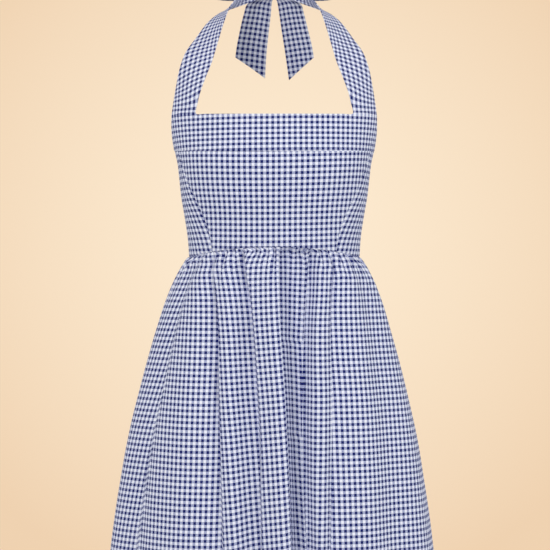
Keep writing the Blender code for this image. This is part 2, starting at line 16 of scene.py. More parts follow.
import bpy
import numpy as np
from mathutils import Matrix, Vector


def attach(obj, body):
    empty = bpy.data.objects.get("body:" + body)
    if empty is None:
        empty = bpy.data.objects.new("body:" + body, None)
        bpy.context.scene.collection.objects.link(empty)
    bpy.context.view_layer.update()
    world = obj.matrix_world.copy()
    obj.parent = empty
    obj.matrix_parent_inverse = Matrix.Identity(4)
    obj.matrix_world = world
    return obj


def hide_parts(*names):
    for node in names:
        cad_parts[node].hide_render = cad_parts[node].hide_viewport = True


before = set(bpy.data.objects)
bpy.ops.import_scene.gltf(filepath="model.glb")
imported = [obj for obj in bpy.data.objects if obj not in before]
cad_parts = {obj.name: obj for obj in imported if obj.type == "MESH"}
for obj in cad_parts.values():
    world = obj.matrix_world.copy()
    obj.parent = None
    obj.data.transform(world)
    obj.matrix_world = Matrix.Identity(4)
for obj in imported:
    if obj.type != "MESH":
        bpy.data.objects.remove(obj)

LOG = logging.getLogger("dress")
Array = np.ndarray
Piece = bpy.types.Object
Material = bpy.types.Material
Tree = bpy.types.NodeTree
Node = bpy.types.Node
Socket = bpy.types.NodeSocket
Line = Callable[[Array], Array]
StitchLine = tuple[Array, Array]
Colour = tuple[float, ...]

MM = 0.001
UV_NAME = "cloth"


class Side(Enum):
    """The side of the dress, as seen from the front, with its sign along X."""

    RIGHT = 1
    LEFT = -1

    @property
    def word(self) -> str:
        """The side's name in lower case."""
        return self.name.lower()


class Held(Enum):
    """How a sheet of cloth is held."""

    HUNG = "hung"
    GATHERED = "gathered"
    STRETCHED = "stretched"
    FOLDED = "folded"


class Follow(Enum):
    """The fold line that a gore's checks hang parallel to."""

    START = 0
    END = 1


class Ring(NamedTuple):
    """A level of the body form: half width, depth before and behind its axis, and squareness."""

    level: float
    half_width: float
    front: float
    back: float
    square: float


TORSO = (
    Ring(-440, 126.5, 94, 86, 0.04),
    Ring(-424, 127.5, 95, 86, 0.04),
    Ring(-395, 129.5, 98, 87, 0.05),
    Ring(-365, 134, 103, 88.5, 0.07),
    Ring(-335, 139, 110, 90.5, 0.10),
    Ring(-305, 142.5, 115.5, 92, 0.13),
    Ring(-285, 145, 116.5, 92.5, 0.14),
    Ring(-265, 149.5, 112, 92, 0.12),
    Ring(-240, 154.5, 102, 91, 0.08),
    Ring(-212, 158, 93, 90, 0.05),
    Ring(-200, 159, 90, 90, 0.05),
)

SKIRT = (
    Ring(0, 128.2, 95.6, 86.8, 0.04),
    Ring(12, 137, 102, 94, 0.04),
    Ring(30, 147, 109, 102, 0.04),
    Ring(61, 160, 118, 113, 0.03),
    Ring(115, 177, 129, 127, 0.03),
    Ring(187, 196, 142, 141, 0.02),
    Ring(259, 213, 154, 154, 0.02),
    Ring(331, 226, 164, 165, 0.01),
    Ring(403, 236.5, 171, 173, 0.0),
    Ring(475, 245, 177, 180, 0.0),
)


class Fold(NamedTuple):
    """A fold of the skirt: its angle at waist and hem, its rise at three levels, and its reach."""

    waist_deg: float
    hem_deg: float
    waist_rise: float
    middle_rise: float
    hem_rise: float
    waist_reach: float
    hem_reach: float


FOLDS = (
    Fold(-4.7, 4.2, 5, 9, 12, 9, 21),
    Fold(8.6, 8.6, -6, -11, -15, 7, 12),
    Fold(25.3, 15.6, 4, 7, 6, 12, 17),
    Fold(39, 18.9, -4, -5, -6, 7, 10),
    Fold(52, 33, 2, 4, 5, 14, 34),
    Fold(62, 46, -2, -3, -5, 12, 26),
    Fold(77, 63, 3, 5, 7, 14, 34),
    Fold(-20.5, -7, -5, -9, -11, 12, 24),
    Fold(-30, -12.8, 3, 5, 7, 10, 16),
    Fold(-41, -17.5, -4, -5, -5, 7, 11),
    Fold(-49, -33, 2, 5, 6, 12, 38),
    Fold(-58, -58, -4, -6, -7, 9, 24),
    Fold(-76, -76, 2, 6, 8, 12, 28),
    Fold(95, 92, -3, -6, -8, 12, 26),
    Fold(110, 107, 3, 7, 10, 12, 28),
    Fold(124, 122, -4, -8, -11, 9, 24),
    Fold(139, 137, 3, 7, 11, 11, 26),
    Fold(151, 152, -4, -7, -9, 7, 15),
    Fold(164, 165, 2, 4, 7, 12, 26),
    Fold(196, 194, 2, 5, 8, 10, 22),
    Fold(208, 206, -4, -8, -11, 7, 18),
    Fold(221, 221, 3, 6, 9, 12, 28),
    Fold(236, 238, -3, -7, -9, 10, 26),
    Fold(252, 255, 3, 6, 8, 12, 28),
)


class Crease(NamedTuple):
    """A sharp crease of the skirt, with the gore of cloth that follows it.

    Its angle is given at four drops from the waist (CREASE_DROPS). The step is how far the cloth
    beyond its wall lies back, and before is the same ahead of it. Both fade out over the tail.
    The slit is a narrow trough along it, of the given reach, and sunk is how much deeper the gore
    after it lies where that gore ends. All have the strength given at waist, middle and hem. The
    checks change over the width. In the gore after it they hang parallel to one of its creases,
    and they are moved across, lifted and tilted by the values given at waist, middle and hem.
    """

    at_waist: float
    at_hip: float
    at_thigh: float
    at_hem: float
    step: float = 0
    before: float = 0
    tail: float = 14
    edge: float = 1.5
    slit: float = 0
    reach: float = 3
    sunk: float = 0
    strength: tuple[float, float, float] = (0.7, 0.85, 1.0)
    width: float = 2
    follow: Follow = Follow.START
    move: tuple[float, float, float] = (0, 0, 0)
    lift: tuple[float, float, float] = (0, 0, 0)
    tilt_deg: tuple[float, float, float] = (0, 0, 0)


CREASE_DROPS = (0, 76, 218, 471)
LEVELS = (0, 0.42, 1)

FRONT_CREASES = (
    Crease(-90, -90, -90, -90, move=(0, -2, -4.5), lift=(0, -2.4, -1)),
    Crease(-52, -54, -56, -59, width=8, follow=Follow.END, move=(0, -8.2, -22.1),
           lift=(0, 1.1, 2.9), tilt_deg=(0, 0, 1.5)),
    Crease(-42, -31, -23.3, -17, before=7, tail=6, slit=2, reach=2, width=1.2,
           strength=(0.7, 0.8, 0.1), follow=Follow.END, move=(0, -1, 14.8),
           lift=(0, -1.9, -0.5), tilt_deg=(0, 2.5, 12)),
    Crease(-20, -12.4, -6.7, -4.35, slit=3, reach=3, before=13, tail=34, width=2,
           strength=(0.9, 0.9, 0.6), follow=Follow.END, move=(0.4, 3.2, 6),
           lift=(-1.9, -3.8, -7.3), tilt_deg=(2, 6, 11)),
    Crease(2.5, 2.3, 4.2, 6.3, step=16, tail=80, sunk=8, width=1.4,
           strength=(1.9, 1.2, 1.0), move=(2, 3, 3), lift=(-0.8, 2.8, 10.3),
           tilt_deg=(-2, -7, -10.5)),
    Crease(24, 17.4, 12.1, 12.0, step=4.5, tail=11, edge=4, width=2, strength=(1.0, 1.0, 0.9),
           follow=Follow.END, move=(0, 0.5, -1), lift=(-0.5, -1.8, 7.5)),
    Crease(40, 30, 23.6, 18.9, slit=4.5, reach=1.9, width=2, strength=(1.3, 0.0, 1.0),
           move=(-9, 2.9, 14.3), lift=(0.5, -0.9, 3.6)),
    Crease(90, 90, 90, 90),
)

BACK_CREASES = (
    Crease(90, 90, 90, 90),
    Crease(124, 123, 122, 122, step=9, tail=30, slit=1.5, reach=4, width=3),
    Crease(151, 151, 152, 152, before=7, tail=18, slit=3, reach=3.2, width=3,
           follow=Follow.END),
    Crease(180, 180, 180, 180),
    Crease(208, 207, 206, 206, step=11, tail=26, slit=1, reach=3, width=2),
    Crease(236, 237, 238, 238, before=8, tail=20, slit=2.5, reach=3.6, width=4,
           follow=Follow.END),
    Crease(270, 270, 270, 270),
)


class StrapEdge(NamedTuple):
    """A section of the right strap: its inner (throat) edge and its outer (shoulder) edge."""

    inner: tuple[float, float, float]
    outer: tuple[float, float, float]


STRAP = (
    StrapEdge((109.5, -128, -184), (146.6, -96, -173)),
    StrapEdge((101.7, -123, -161.5), (141.4, -96, -146.6)),
    StrapEdge((92.4, -116, -137), (132.7, -91, -120.7)),
    StrapEdge((86.3, -107, -114), (118, -73, -96)),
    StrapEdge((79.8, -94, -88.4), (100.5, -53, -69)),
    StrapEdge((75.1, -78, -69.7), (86.3, -33, -54)),
    StrapEdge((71.5, -62, -55.3), (72.5, -16, -45)),
    StrapEdge((66.5, -47, -43), (57.2, -4, -37.5)),
    StrapEdge((58.5, -31, -30), (42.7, 4, -31)),
    StrapEdge((43, -13, -11), (28, 9.5, -24)),
    StrapEdge((26, 2.5, 4), (20, 11.5, -15)),
    StrapEdge((14.4, 10, 9), (14.4, 12.5, -9)),
)


class TailRow(NamedTuple):
    """A level of a tail: distance and height of its edge near the middle, then of its far edge."""

    near_x: float
    near_z: float
    far_x: float
    far_z: float
    behind: float
    cup: float


TAILS = {
    Side.RIGHT: (
        TailRow(0.4, -19.8, 15, -19.6, 13.8, 0.8),
        TailRow(4.8, -28, 40, -27.5, 25, 3.5),
        TailRow(8.0, -48, 46.5, -45, 24, 4.0),
        TailRow(12.0, -76, 52.5, -70, 21, 3.0),
        TailRow(17.0, -108, 58.5, -95, 19, 2.5),
        TailRow(22.7, -149, 61.4, -113, 18, 2.5),
    ),
    Side.LEFT: (
        TailRow(0.4, -19.8, 15, -19.6, 13.8, 0.8),
        TailRow(3.9, -28, 40.5, -27.5, 25, 3.5),
        TailRow(5.7, -48, 47.6, -45, 24, 4.0),
        TailRow(8.9, -76, 53.4, -70, 21, 3.0),
        TailRow(12.2, -108, 58.2, -95, 19, 2.5),
        TailRow(14.4, -146, 60.6, -113, 18, 2.5),
    ),
}


def curve(stations: tuple | Array, values: list | tuple | Array) -> Line:
    """A smooth curve through the values at rising stations, straight beyond both ends.

    Args:
        stations: Where the values stand.
        values: The curve's value at each station.

    Returns:
        The function that reads the curve.
    """
    x = np.asarray(stations, float)
    y = np.asarray(values, float)
    slope = np.gradient(y, x)

    def at(place: Array) -> Array:
        """The curve's value at a place."""
        place = np.asarray(place, float)
        i = np.clip(np.searchsorted(x, place) - 1, 0, len(x) - 2)
        step = x[i + 1] - x[i]
        part = (place - x[i]) / step
        s = np.clip(part, 0, 1)
        over = (part - s) * step
        smooth = (
            (1 + 2 * s) * (1 - s) ** 2 * y[i]
            + s * (1 - s) ** 2 * step * slope[i]
            + s * s * (3 - 2 * s) * y[i + 1]
            + s * s * (s - 1) * step * slope[i + 1]
        )
        return smooth + over * np.where(over < 0, slope[i], slope[i + 1])

    return at


def mix(a: Array | float, b: Array | float, part: Array | float) -> Array:
    """The value between a and b."""
    return a + (b - a) * part


def eased(part: Array) -> Array:
    """A share from 0 to 1, eased at both ends."""
    part = np.clip(part, 0, 1)
    return part * part * (3 - 2 * part)


def half_turned(angle: Array) -> Array:
    """An angle between half a turn back and half a turn ahead."""
    return (angle + math.pi) % (2 * math.pi) - math.pi


def crowded(count: int, crowd: float = 0.55) -> Array:
    """Shares from 0 to 1 in count steps, closer together at both ends."""
    s = np.linspace(0, 1, count + 1)
    return s - crowd * np.sin(2 * math.pi * s) / (2 * math.pi)


def seam_dip(away: Array, depth: float = 0.9, reach: float = 1.7) -> Array:
    """How far cloth turns in towards a seam, in mm, at a distance from it in mm."""
    return depth * np.exp(-((away / reach) ** 2))


def ripples(x: Array, z: Array, seed: float) -> Array:
    """Soft, uneven swells of cloth between about -1 and 1, over places in mm."""
    return (
        0.45 * np.sin(x / 31 + z / 57 + 1.7 * seed)
        + 0.30 * np.sin(x / 17.3 - z / 41 + 2.3 * seed + 1)
        + 0.25 * np.sin(x / 23.9 + z / 19.7 + 0.7 * seed + 2)
        + 0.15 * np.sin(x / 9.1 - z / 12.3 + 3.1 * seed)
    )


@dataclass(frozen=True)
class BodyForm:
    """The form that fills the dress, as rings at rising levels."""

    rings: tuple[Ring, ...]
    axis_y: float = -70 * MM

    def reader(self, name: str) -> Line:
        """The curve of one column of the rings over their levels."""
        return curve([r.level for r in self.rings], [getattr(r, name) for r in self.rings])

    def at(self, angle: Array, level: Array) -> tuple[Array, Array]:
        """The place on the form.

        Args:
            angle: Angle from the centre front.
            level: Level in millimetres.

        Returns:
            x and y in metres.
        """
        s, c = np.sin(angle), np.cos(angle)
        q = self.reader("square")(level)
        depth = np.where(c > 0, self.reader("front")(level), self.reader("back")(level))
        x = self.reader("half_width")(level) * s * (1 + q * c * c)
        y = -depth * c * (1 + q * s * s)
        return x * MM, self.axis_y + y * MM

    def lifted(self, angle: Array, level: Array, proud: Array) -> tuple[Array, Array]:
        """The place on the form at an angle and level, moved out by proud millimetres."""
        turn = 1e-4
        x, y = self.at(angle, level)
        ahead, behind = self.at(angle + turn, level), self.at(angle - turn, level)
        along = ((ahead[0] - behind[0]), (ahead[1] - behind[1]))
        size = np.hypot(*along)
        return x + proud * MM * along[1] / size, y - proud * MM * along[0] / size

    def radius(self, angle: Array, level: Array) -> Array:
        """Millimetres of cloth for each radian round the form."""
        turn = 1e-4
        ahead, behind = self.at(angle + turn, level), self.at(angle - turn, level)
        return np.hypot(ahead[0] - behind[0], ahead[1] - behind[1]) / (2 * turn) / MM


@dataclass(frozen=True)
class Pattern:
    """The seam and edge lines that the pieces share, as heights and angles."""

    waist_side_z: float = -424.5 * MM
    waist_front_rise: float = 14 * MM
    hem_z: float = -895 * MM
    neckline_z: float = -218 * MM
    neckline_side_rise: float = 6 * MM
    band_seam_side_z: float = -265.6 * MM
    band_seam_front_drop: float = 7.5 * MM
    underarm_z: float = -284 * MM
    back_top_z: float = -310 * MM
    strap_inner_deg: float = 45.5
    strap_outer_deg: float = 73
    band_end_deg: float = 84
    seam: float = 0.3 * MM

    def waist_z(self, angle: Array) -> Array:
        """Height of the waist seam, which rises at the centre front."""
        c = np.maximum(np.cos(angle), 0)
        return self.waist_side_z + self.waist_front_rise * c * c

    def band_seam_z(self, angle: Array) -> Array:
        """Height of the seam under the neck band."""
        return self.band_seam_side_z - self.band_seam_front_drop * np.cos(angle)

    def princess_angle(self, z: Array) -> Array:
        """Angle of the seam that shapes the bust, from the band's end in to the waist."""
        heights = np.array([-424, -385, -355, -335, -310, -285, -262]) * MM
        return np.radians(curve(heights, [44, 46.5, 51, 56, 62.5, 68.5, 73])(z))

    def neckline_rise(self, angle: Array) -> Array:
        """How far the neckline has risen above its middle at an angle."""
        out = np.clip(angle / math.radians(self.strap_outer_deg), 0, 1.1)
        return self.neckline_side_rise * out**2

    def armhole_angle(self, z: Array) -> Array:
        """Angle of the band's free end, between the strap and the side of the bodice."""
        bottom = self.band_seam_side_z
        part = (z - bottom) / (self.neckline_z + self.neckline_side_rise - bottom)
        return np.radians(mix(self.band_end_deg, self.strap_outer_deg, part))

    def side_top_z(self, angle: Array) -> Array:
        """Top edge of a side panel: the band seam, then the armhole down to the underarm."""
        past = (np.abs(angle) - math.radians(self.band_end_deg)) / math.radians(6)
        return mix(self.band_seam_z(angle), self.underarm_z, np.clip(past, 0, 1))

    def back_top(self, angle: Array) -> Array:
        """Top edge of the back, from the underarm down to the centre back."""
        past = (math.pi - np.abs(math.pi - np.abs(angle)) - math.pi / 2) / (math.pi / 2)
        part = np.sin(np.clip(past, -0.02, 1) * math.pi / 2)
        return mix(self.underarm_z, self.back_top_z, part)


PATTERN = Pattern()
TORSO_FORM = BodyForm(TORSO)
SKIRT_FORM = BodyForm(SKIRT)


def deselect() -> None:
    """Clears the selection, because operators act on all that is selected."""
    bpy.ops.object.select_all(action="DESELECT")


def choose(piece: Piece) -> None:
    """Makes one object the only selected one, and the active one."""
    deselect()
    piece.select_set(True)
    bpy.context.view_layer.objects.active = piece


def apply_modifier(piece: Piece, modifier: bpy.types.Modifier) -> None:
    """Applies a modifier for good."""
    choose(piece)
    bpy.ops.object.modifier_apply(modifier=modifier.name)


def grid_piece(name: str, points: Array, cloth: Array) -> Piece:
    """Lays a grid primitive over a table of points.

    Args:
        name: The piece's name.
        points: Places, as rows by columns by x, y, z, with row 0 at the top.
        cloth: The flat cloth's coordinates of the same points, in metres.

    Returns:
        The piece, one open sheet whose faces point out.
    """
    rows, columns = points.shape[0] - 1, points.shape[1] - 1
    deselect()
    bpy.ops.mesh.primitive_grid_add(x_subdivisions=columns, y_subdivisions=rows, size=1)
    piece = bpy.context.object
    piece.name = piece.data.name = name
    mesh = piece.data
    co = np.empty(len(mesh.vertices) * 3)
    mesh.vertices.foreach_get("co", co)
    co = co.reshape(-1, 3)
    column = np.rint((co[:, 0] + 0.5) * columns).astype(int)
    row = np.rint((0.5 - co[:, 1]) * rows).astype(int)
    mesh.vertices.foreach_set("co", points[row, column].ravel())
    corners = np.empty(len(mesh.loops), int)
    mesh.loops.foreach_get("vertex_index", corners)
    layer = mesh.uv_layers.active
    layer.name = UV_NAME
    layer.data.foreach_set("uv", cloth[row, column][corners].ravel())
    mesh.update()
    return piece


def weld(pieces: list[Piece], reach: float = 0.02 * MM) -> Piece:
    """Joins sheets that share edges into one, with the shared points merged."""
    deselect()
    for piece in pieces:
        piece.select_set(True)
    bpy.context.view_layer.objects.active = pieces[0]
    bpy.ops.object.join()
    bpy.ops.object.mode_set(mode="EDIT")
    bpy.ops.mesh.select_all(action="SELECT")
    bpy.ops.mesh.remove_doubles(threshold=reach)
    bpy.ops.object.mode_set(mode="OBJECT")
    return pieces[0]


def thicken(piece: Piece, thickness: float) -> None:
    """Gives a sheet its thickness, inwards from the face that it has."""
    shell = piece.modifiers.new("thickness", "SOLIDIFY")
    shell.thickness = thickness
    shell.offset = -1
    apply_modifier(piece, shell)
    choose(piece)
    bpy.ops.object.shade_smooth_by_angle(angle=math.radians(50))


def along_row(points: Array) -> Array:
    """Distance along each row of points from its first point, in metres."""
    steps = np.linalg.norm(np.diff(points, axis=1), axis=-1)
    return np.concatenate([np.zeros((len(points), 1)), np.cumsum(steps, axis=1)], axis=1)


def down_column(points: Array) -> Array:
    """Distance down one column of points from its first point, in metres."""
    return np.concatenate([[0], np.cumsum(np.linalg.norm(np.diff(points, axis=0), axis=-1))])


def outward(points: Array) -> Array:
    """The outward direction at each point of a grid whose rows run down."""
    across = np.gradient(points, axis=1)
    down = np.gradient(points, axis=0)
    normal = np.cross(down, across)
    return normal / np.linalg.norm(normal, axis=-1, keepdims=True)


class NodePen:
    """Writes shader nodes into a tree, and links them as it goes."""

    def __init__(self, tree: Tree) -> None:
        """Takes the tree to write into."""
        self.tree = tree

    def node(self, kind: str, **settings: object) -> Node:
        """A new node with its settings."""
        made = self.tree.nodes.new(kind)
        for name, value in settings.items():
            setattr(made, name, value)
        return made

    def feed(self, socket: Socket, value: object) -> None:
        """Links a socket to another, or sets its value."""
        if isinstance(value, Socket):
            self.tree.links.new(value, socket)
        else:
            socket.default_value = value

    def fed(self, node: Node, takes: dict[str, object]) -> Node:
        """The node, once its inputs are fed by name."""
        for name, value in takes.items():
            self.feed(node.inputs[name], value)
        return node

    def math(self, what: str, a: object, b: object = 0.0, c: object = 0.0) -> Socket:
        """The result of a Math node."""
        made = self.node("ShaderNodeMath", operation=what)
        for socket, value in zip(made.inputs, (a, b, c)):
            self.feed(socket, value)
        return made.outputs[0]

    def clamped(self, value: object) -> Socket:
        """A number held between 0 and 1."""
        return self.math("MINIMUM", self.math("MAXIMUM", value, 0.0), 1.0)

    def blend(self, part: object, a: object, b: object, kind: str = "FLOAT") -> Socket:
        """A number between a and b, or a colour where the kind is RGBA."""
        made = self.node("ShaderNodeMix", data_type=kind)
        for name, value in (("Factor", part), ("A", a), ("B", b)):
            self.feed(next(s for s in made.inputs if s.name == name and s.enabled), value)
        return next(s for s in made.outputs if s.enabled)

    def tint(self, part: object, a: object, b: object) -> Socket:
        """A colour between a and b."""
        return self.blend(part, a, b, "RGBA")

    def noise(self, vector: object, scale: float, detail: float = 2.0) -> Socket:
        """A soft noise between 0 and 1."""
        made = self.node("ShaderNodeTexNoise")
        takes = {"Vector": vector, "Scale": scale, "Detail": detail}
        return self.fed(made, takes).outputs["Fac"]

    def bump(self, height: object, strength: float, distance: float) -> Socket:
        """The normal of a surface with a fine relief."""
        takes = {"Height": height, "Strength": strength, "Distance": distance}
        return self.fed(self.node("ShaderNodeBump"), takes).outputs[0]

    def cloth_place(self) -> Socket:
        """The flat cloth's coordinates, in metres."""
        return self.node("ShaderNodeUVMap", uv_map=UV_NAME).outputs[0]

    def object_place(self) -> Socket:
        """The object's own coordinates, in metres."""
        return self.node("ShaderNodeTexCoord").outputs["Object"]

    def moved(self, place: object, shift: tuple[float, float, float]) -> Socket:
        """Coordinates moved by a fixed amount."""
        takes = {"Vector": place, "Location": shift}
        return self.fed(self.node("ShaderNodeMapping"), takes).outputs[0]


class MaterialPen(NodePen):
    """A pen over a new material."""

    def __init__(self, name: str) -> None:
        """Makes the material with its Principled shader."""
        self.material = bpy.data.materials.new(name)
        self.material.use_nodes = True
        super().__init__(self.material.node_tree)

    def surface(self, takes: dict[str, object]) -> Material:
        """Feeds the shader's sockets by name, and gives the finished material."""
        self.fed(self.tree.nodes["Principled BSDF"], takes)
        return self.material


class GroupPen(NodePen):
    """A pen over a new shader node group."""

    def __init__(self, name: str, takes: dict[str, str], gives: dict[str, str]) -> None:
        """Makes the group with its input and output nodes.

        Args:
            name: The group's name.
            takes: Its inputs, each with its socket kind.
            gives: Its outputs, each with its socket kind.
        """
        super().__init__(bpy.data.node_groups.new(name, "ShaderNodeTree"))
        for words, way in ((takes, "INPUT"), (gives, "OUTPUT")):
            for word, kind in words.items():
                self.tree.interface.new_socket(word, in_out=way, socket_type="NodeSocket" + kind)
        self.takes = self.node("NodeGroupInput").outputs
        self.gives = self.node("NodeGroupOutput").inputs


def gingham_group() -> Tree:
    """The weave of a gingham: stripes both ways, crossing thread over thread.

    Returns:
        A group that takes the cloth's coordinates and gives its colour and the threads' height.
    """
    repeats = ("Repeat Across", "Repeat Along")
    numbers = dict.fromkeys((*repeats, "Thread", "Thread Contrast"), "Float")
    colours = dict.fromkeys(("White", "Mid", "Navy"), "Color")
    pen = GroupPen("gingham_weave", {"Cloth": "Vector"} | numbers | colours,
                   {"Color": "Color", "Height": "Float"})
    takes = pen.takes
    place = pen.node("ShaderNodeSeparateXYZ")
    pen.feed(place.inputs[0], takes["Cloth"])
    stripes, counts, rounds = [], [], []
    for run, repeat in zip(place.outputs, repeats):
        stripe = pen.math("FRACT", pen.math("DIVIDE", run, takes[repeat]))
        stripes.append(pen.math("LESS_THAN", stripe, 0.5))
        thread = pen.math("DIVIDE", run, takes["Thread"])
        counts.append(pen.math("FLOOR", thread))
        wave = pen.math("SINE", pen.math("MULTIPLY", thread, math.pi))
        rounds.append(pen.math("ABSOLUTE", wave))
    over = pen.math("FLOORED_MODULO", pen.math("ADD", *counts), 2.0)
    even = pen.math("MULTIPLY", pen.math("ADD", *stripes), 0.5)
    dark = pen.blend(takes["Thread Contrast"], even, pen.blend(over, *stripes))
    slub = pen.noise(takes["Cloth"], 900.0, 1.0)
    wash = pen.noise(takes["Cloth"], 28.0, 3.0)
    uneven = pen.math("ADD", pen.math("MULTIPLY", slub, 0.05), pen.math("MULTIPLY", wash, 0.05))
    dark = pen.math("MULTIPLY_ADD", dark, 0.97, pen.math("SUBTRACT", uneven, 0.035))
    twice = pen.math("MULTIPLY", dark, 2.0)
    light = pen.tint(pen.clamped(twice), takes["White"], takes["Mid"])
    to_navy = pen.clamped(pen.math("SUBTRACT", twice, 1.0))
    pen.feed(pen.gives["Color"], pen.tint(to_navy, light, takes["Navy"]))
    pen.feed(pen.gives["Height"], pen.blend(over, *rounds))
    return pen.tree


def wear_group() -> Tree:
    """Uneven gloss and small marks for hard pieces, from their own coordinates.

    Returns:
        A group that gives a mask of marks and a roughness.
    """
    pen = GroupPen("enamel_wear", {"Place": "Vector", "Smooth": "Float", "Dull": "Float"},
                   {"Marks": "Float", "Roughness": "Float"})
    cloud = pen.noise(pen.takes["Place"], 420.0, 4.0)
    speck = pen.noise(pen.takes["Place"], 2600.0, 2.0)
    marks = pen.math("GREATER_THAN", pen.math("MULTIPLY", cloud, speck), 0.36)
    pen.feed(pen.gives["Marks"], marks)
    dull = pen.blend(cloud, pen.takes["Smooth"], pen.takes["Dull"])
    pen.feed(pen.gives["Roughness"], dull)
    return pen.tree


@dataclass(frozen=True)
class GinghamFinish:
    """Plain woven cotton, in even navy and white checks."""

    group: Tree
    repeat_across: float = 8.0 * MM
    repeat_along: float = 8.33 * MM
    thread: float = 0.333 * MM
    thread_contrast: float = 0.4
    white: Colour = (0.90, 0.905, 0.975)
    mid: Colour = (0.39, 0.435, 0.70)
    navy: Colour = (0.002, 0.008, 0.125)
    relief: float = 0.06 * MM

    def material(self, name: str, shift: tuple[float, float], painted_shade: float) -> Material:
        """The cloth's material.

        Args:
            name: The material's name.
            painted_shade: Painted shade, the share of the cloth's own lightness kept where the
                piece lies in shade.

        Returns:
            The material, which reads the piece's cloth coordinates.
        """
        pen = MaterialPen(name)
        # Painted shade: the tone darkens all three colours alike, for pieces that lie in shade.
        white, mid, navy = ((*(channel * painted_shade for channel in colour), 1.0)
                            for colour in (self.white, self.mid, self.navy))
        weave = pen.fed(pen.node("ShaderNodeGroup", node_tree=self.group), {
            "Cloth": pen.moved(pen.cloth_place(), (*shift, 0)),
            "Repeat Across": self.repeat_across, "Repeat Along": self.repeat_along,
            "Thread": self.thread, "Thread Contrast": self.thread_contrast,
            "White": white, "Mid": mid, "Navy": navy})
        return pen.surface({
            "Base Color": weave.outputs["Color"],
            "Normal": pen.bump(weave.outputs["Height"], 0.25, self.relief),
            "Roughness": 0.85, "Specular IOR Level": 0.15,
            "Sheen Weight": 0.04, "Sheen Roughness": 0.5})


@dataclass(frozen=True)
class TapeFinish:
    """Navy zip tape with a fine lengthwise rib."""

    colour: Colour = (0.012, 0.018, 0.07, 1)
    lit: Colour = (0.03, 0.04, 0.13, 1)
    rib: float = 0.6 * MM
    relief: float = 0.08 * MM

    def material(self, name: str) -> Material:
        """The tape's material, which reads the piece's cloth coordinates."""
        pen = MaterialPen(name)
        split = pen.node("ShaderNodeSeparateXYZ")
        pen.feed(split.inputs[0], pen.cloth_place())
        twill = pen.math("ADD", split.outputs[0], pen.math("MULTIPLY", split.outputs[1], 0.5))
        wave = pen.math("SINE", pen.math("MULTIPLY", twill, 2 * math.pi / self.rib))
        part = pen.math("MULTIPLY_ADD", wave, 0.5, 0.5)
        return pen.surface({"Base Color": pen.tint(part, self.colour, self.lit),
                            "Normal": pen.bump(part, 0.4, self.relief), "Roughness": 0.75})


@dataclass(frozen=True)
class EnamelFinish:
    """Navy enamelled metal, slightly worn."""

    group: Tree
    colour: Colour = (0.03, 0.04, 0.14, 1)
    bare: Colour = (0.35, 0.35, 0.4, 1)

    def material(self, name: str) -> Material:
        """The enamel's material, which reads the object's own coordinates."""
        pen = MaterialPen(name)
        wear = pen.fed(pen.node("ShaderNodeGroup", node_tree=self.group),
                       {"Place": pen.object_place(), "Smooth": 0.22, "Dull": 0.42})
        colour = pen.tint(wear.outputs["Marks"], self.colour, self.bare)
        return pen.surface({"Base Color": colour, "Roughness": wear.outputs["Roughness"],
                            "Metallic": 0.65, "Coat Weight": 0.3})


@dataclass(frozen=True)
class ThreadFinish:
    """Spun sewing thread, twisted."""

    colour: Colour = (0.05, 0.07, 0.2, 1)
    lit: Colour = (0.13, 0.16, 0.36, 1)

    def material(self, name: str) -> Material:
        """The thread's material, which reads the object's own coordinates."""
        pen = MaterialPen(name)
        twist = pen.noise(pen.object_place(), 5200.0, 1.0)
        return pen.surface({"Base Color": pen.tint(twist, self.colour, self.lit),
                            "Roughness": 0.6, "Sheen Weight": 0.2})


@dataclass(frozen=True)
class Finishes:
    """All the finishes of the dress."""

    gingham: GinghamFinish
    tape: TapeFinish
    enamel: EnamelFinish
    thread: ThreadFinish


def paint(piece: Piece, material: Material) -> None:
    """Makes a material the only one of a piece."""
    piece.data.materials.clear()
    piece.data.materials.append(material)


@dataclass
class ClothPiece:
    """One cut piece of cloth, with the node that it stands for and how it is held.

    Its cloth table holds what its checks are read from, and flat the cloth laid out flat, where
    that differs. More holds further parts cut in one with it. A closed piece has its ends joined.
    """

    name: str
    points: Array
    cloth: Array
    stands_for: str
    rests_on: str
    held: Held = Held.HUNG
    thickness: float = 0.6 * MM
    shift: tuple[float, float] = (0, 0)
    # Painted shade: a tone below 1 darkens the cloth's colours to stand in for shade.
    painted_shade: float = 1
    flat: Array | None = None
    more: tuple[Array, ...] = ()
    closed: bool = False

    def make(self, finishes: Finishes) -> None:
        """Models the piece and dresses it."""
        piece = grid_piece(self.name, self.points, self.cloth)
        if self.closed:
            weld([piece])
        thicken(piece, self.thickness)
        self.dress(piece, finishes)

    def dress(self, piece: Piece, finishes: Finishes) -> None:
        """Args:
            piece: The finished mesh.
            finishes: The finishes of the dress.
        """
        paint(piece, finishes.gingham.material("gingham_" + self.name, self.shift, self.painted_shade))
        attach(piece, "dress")
        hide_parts(self.stands_for)


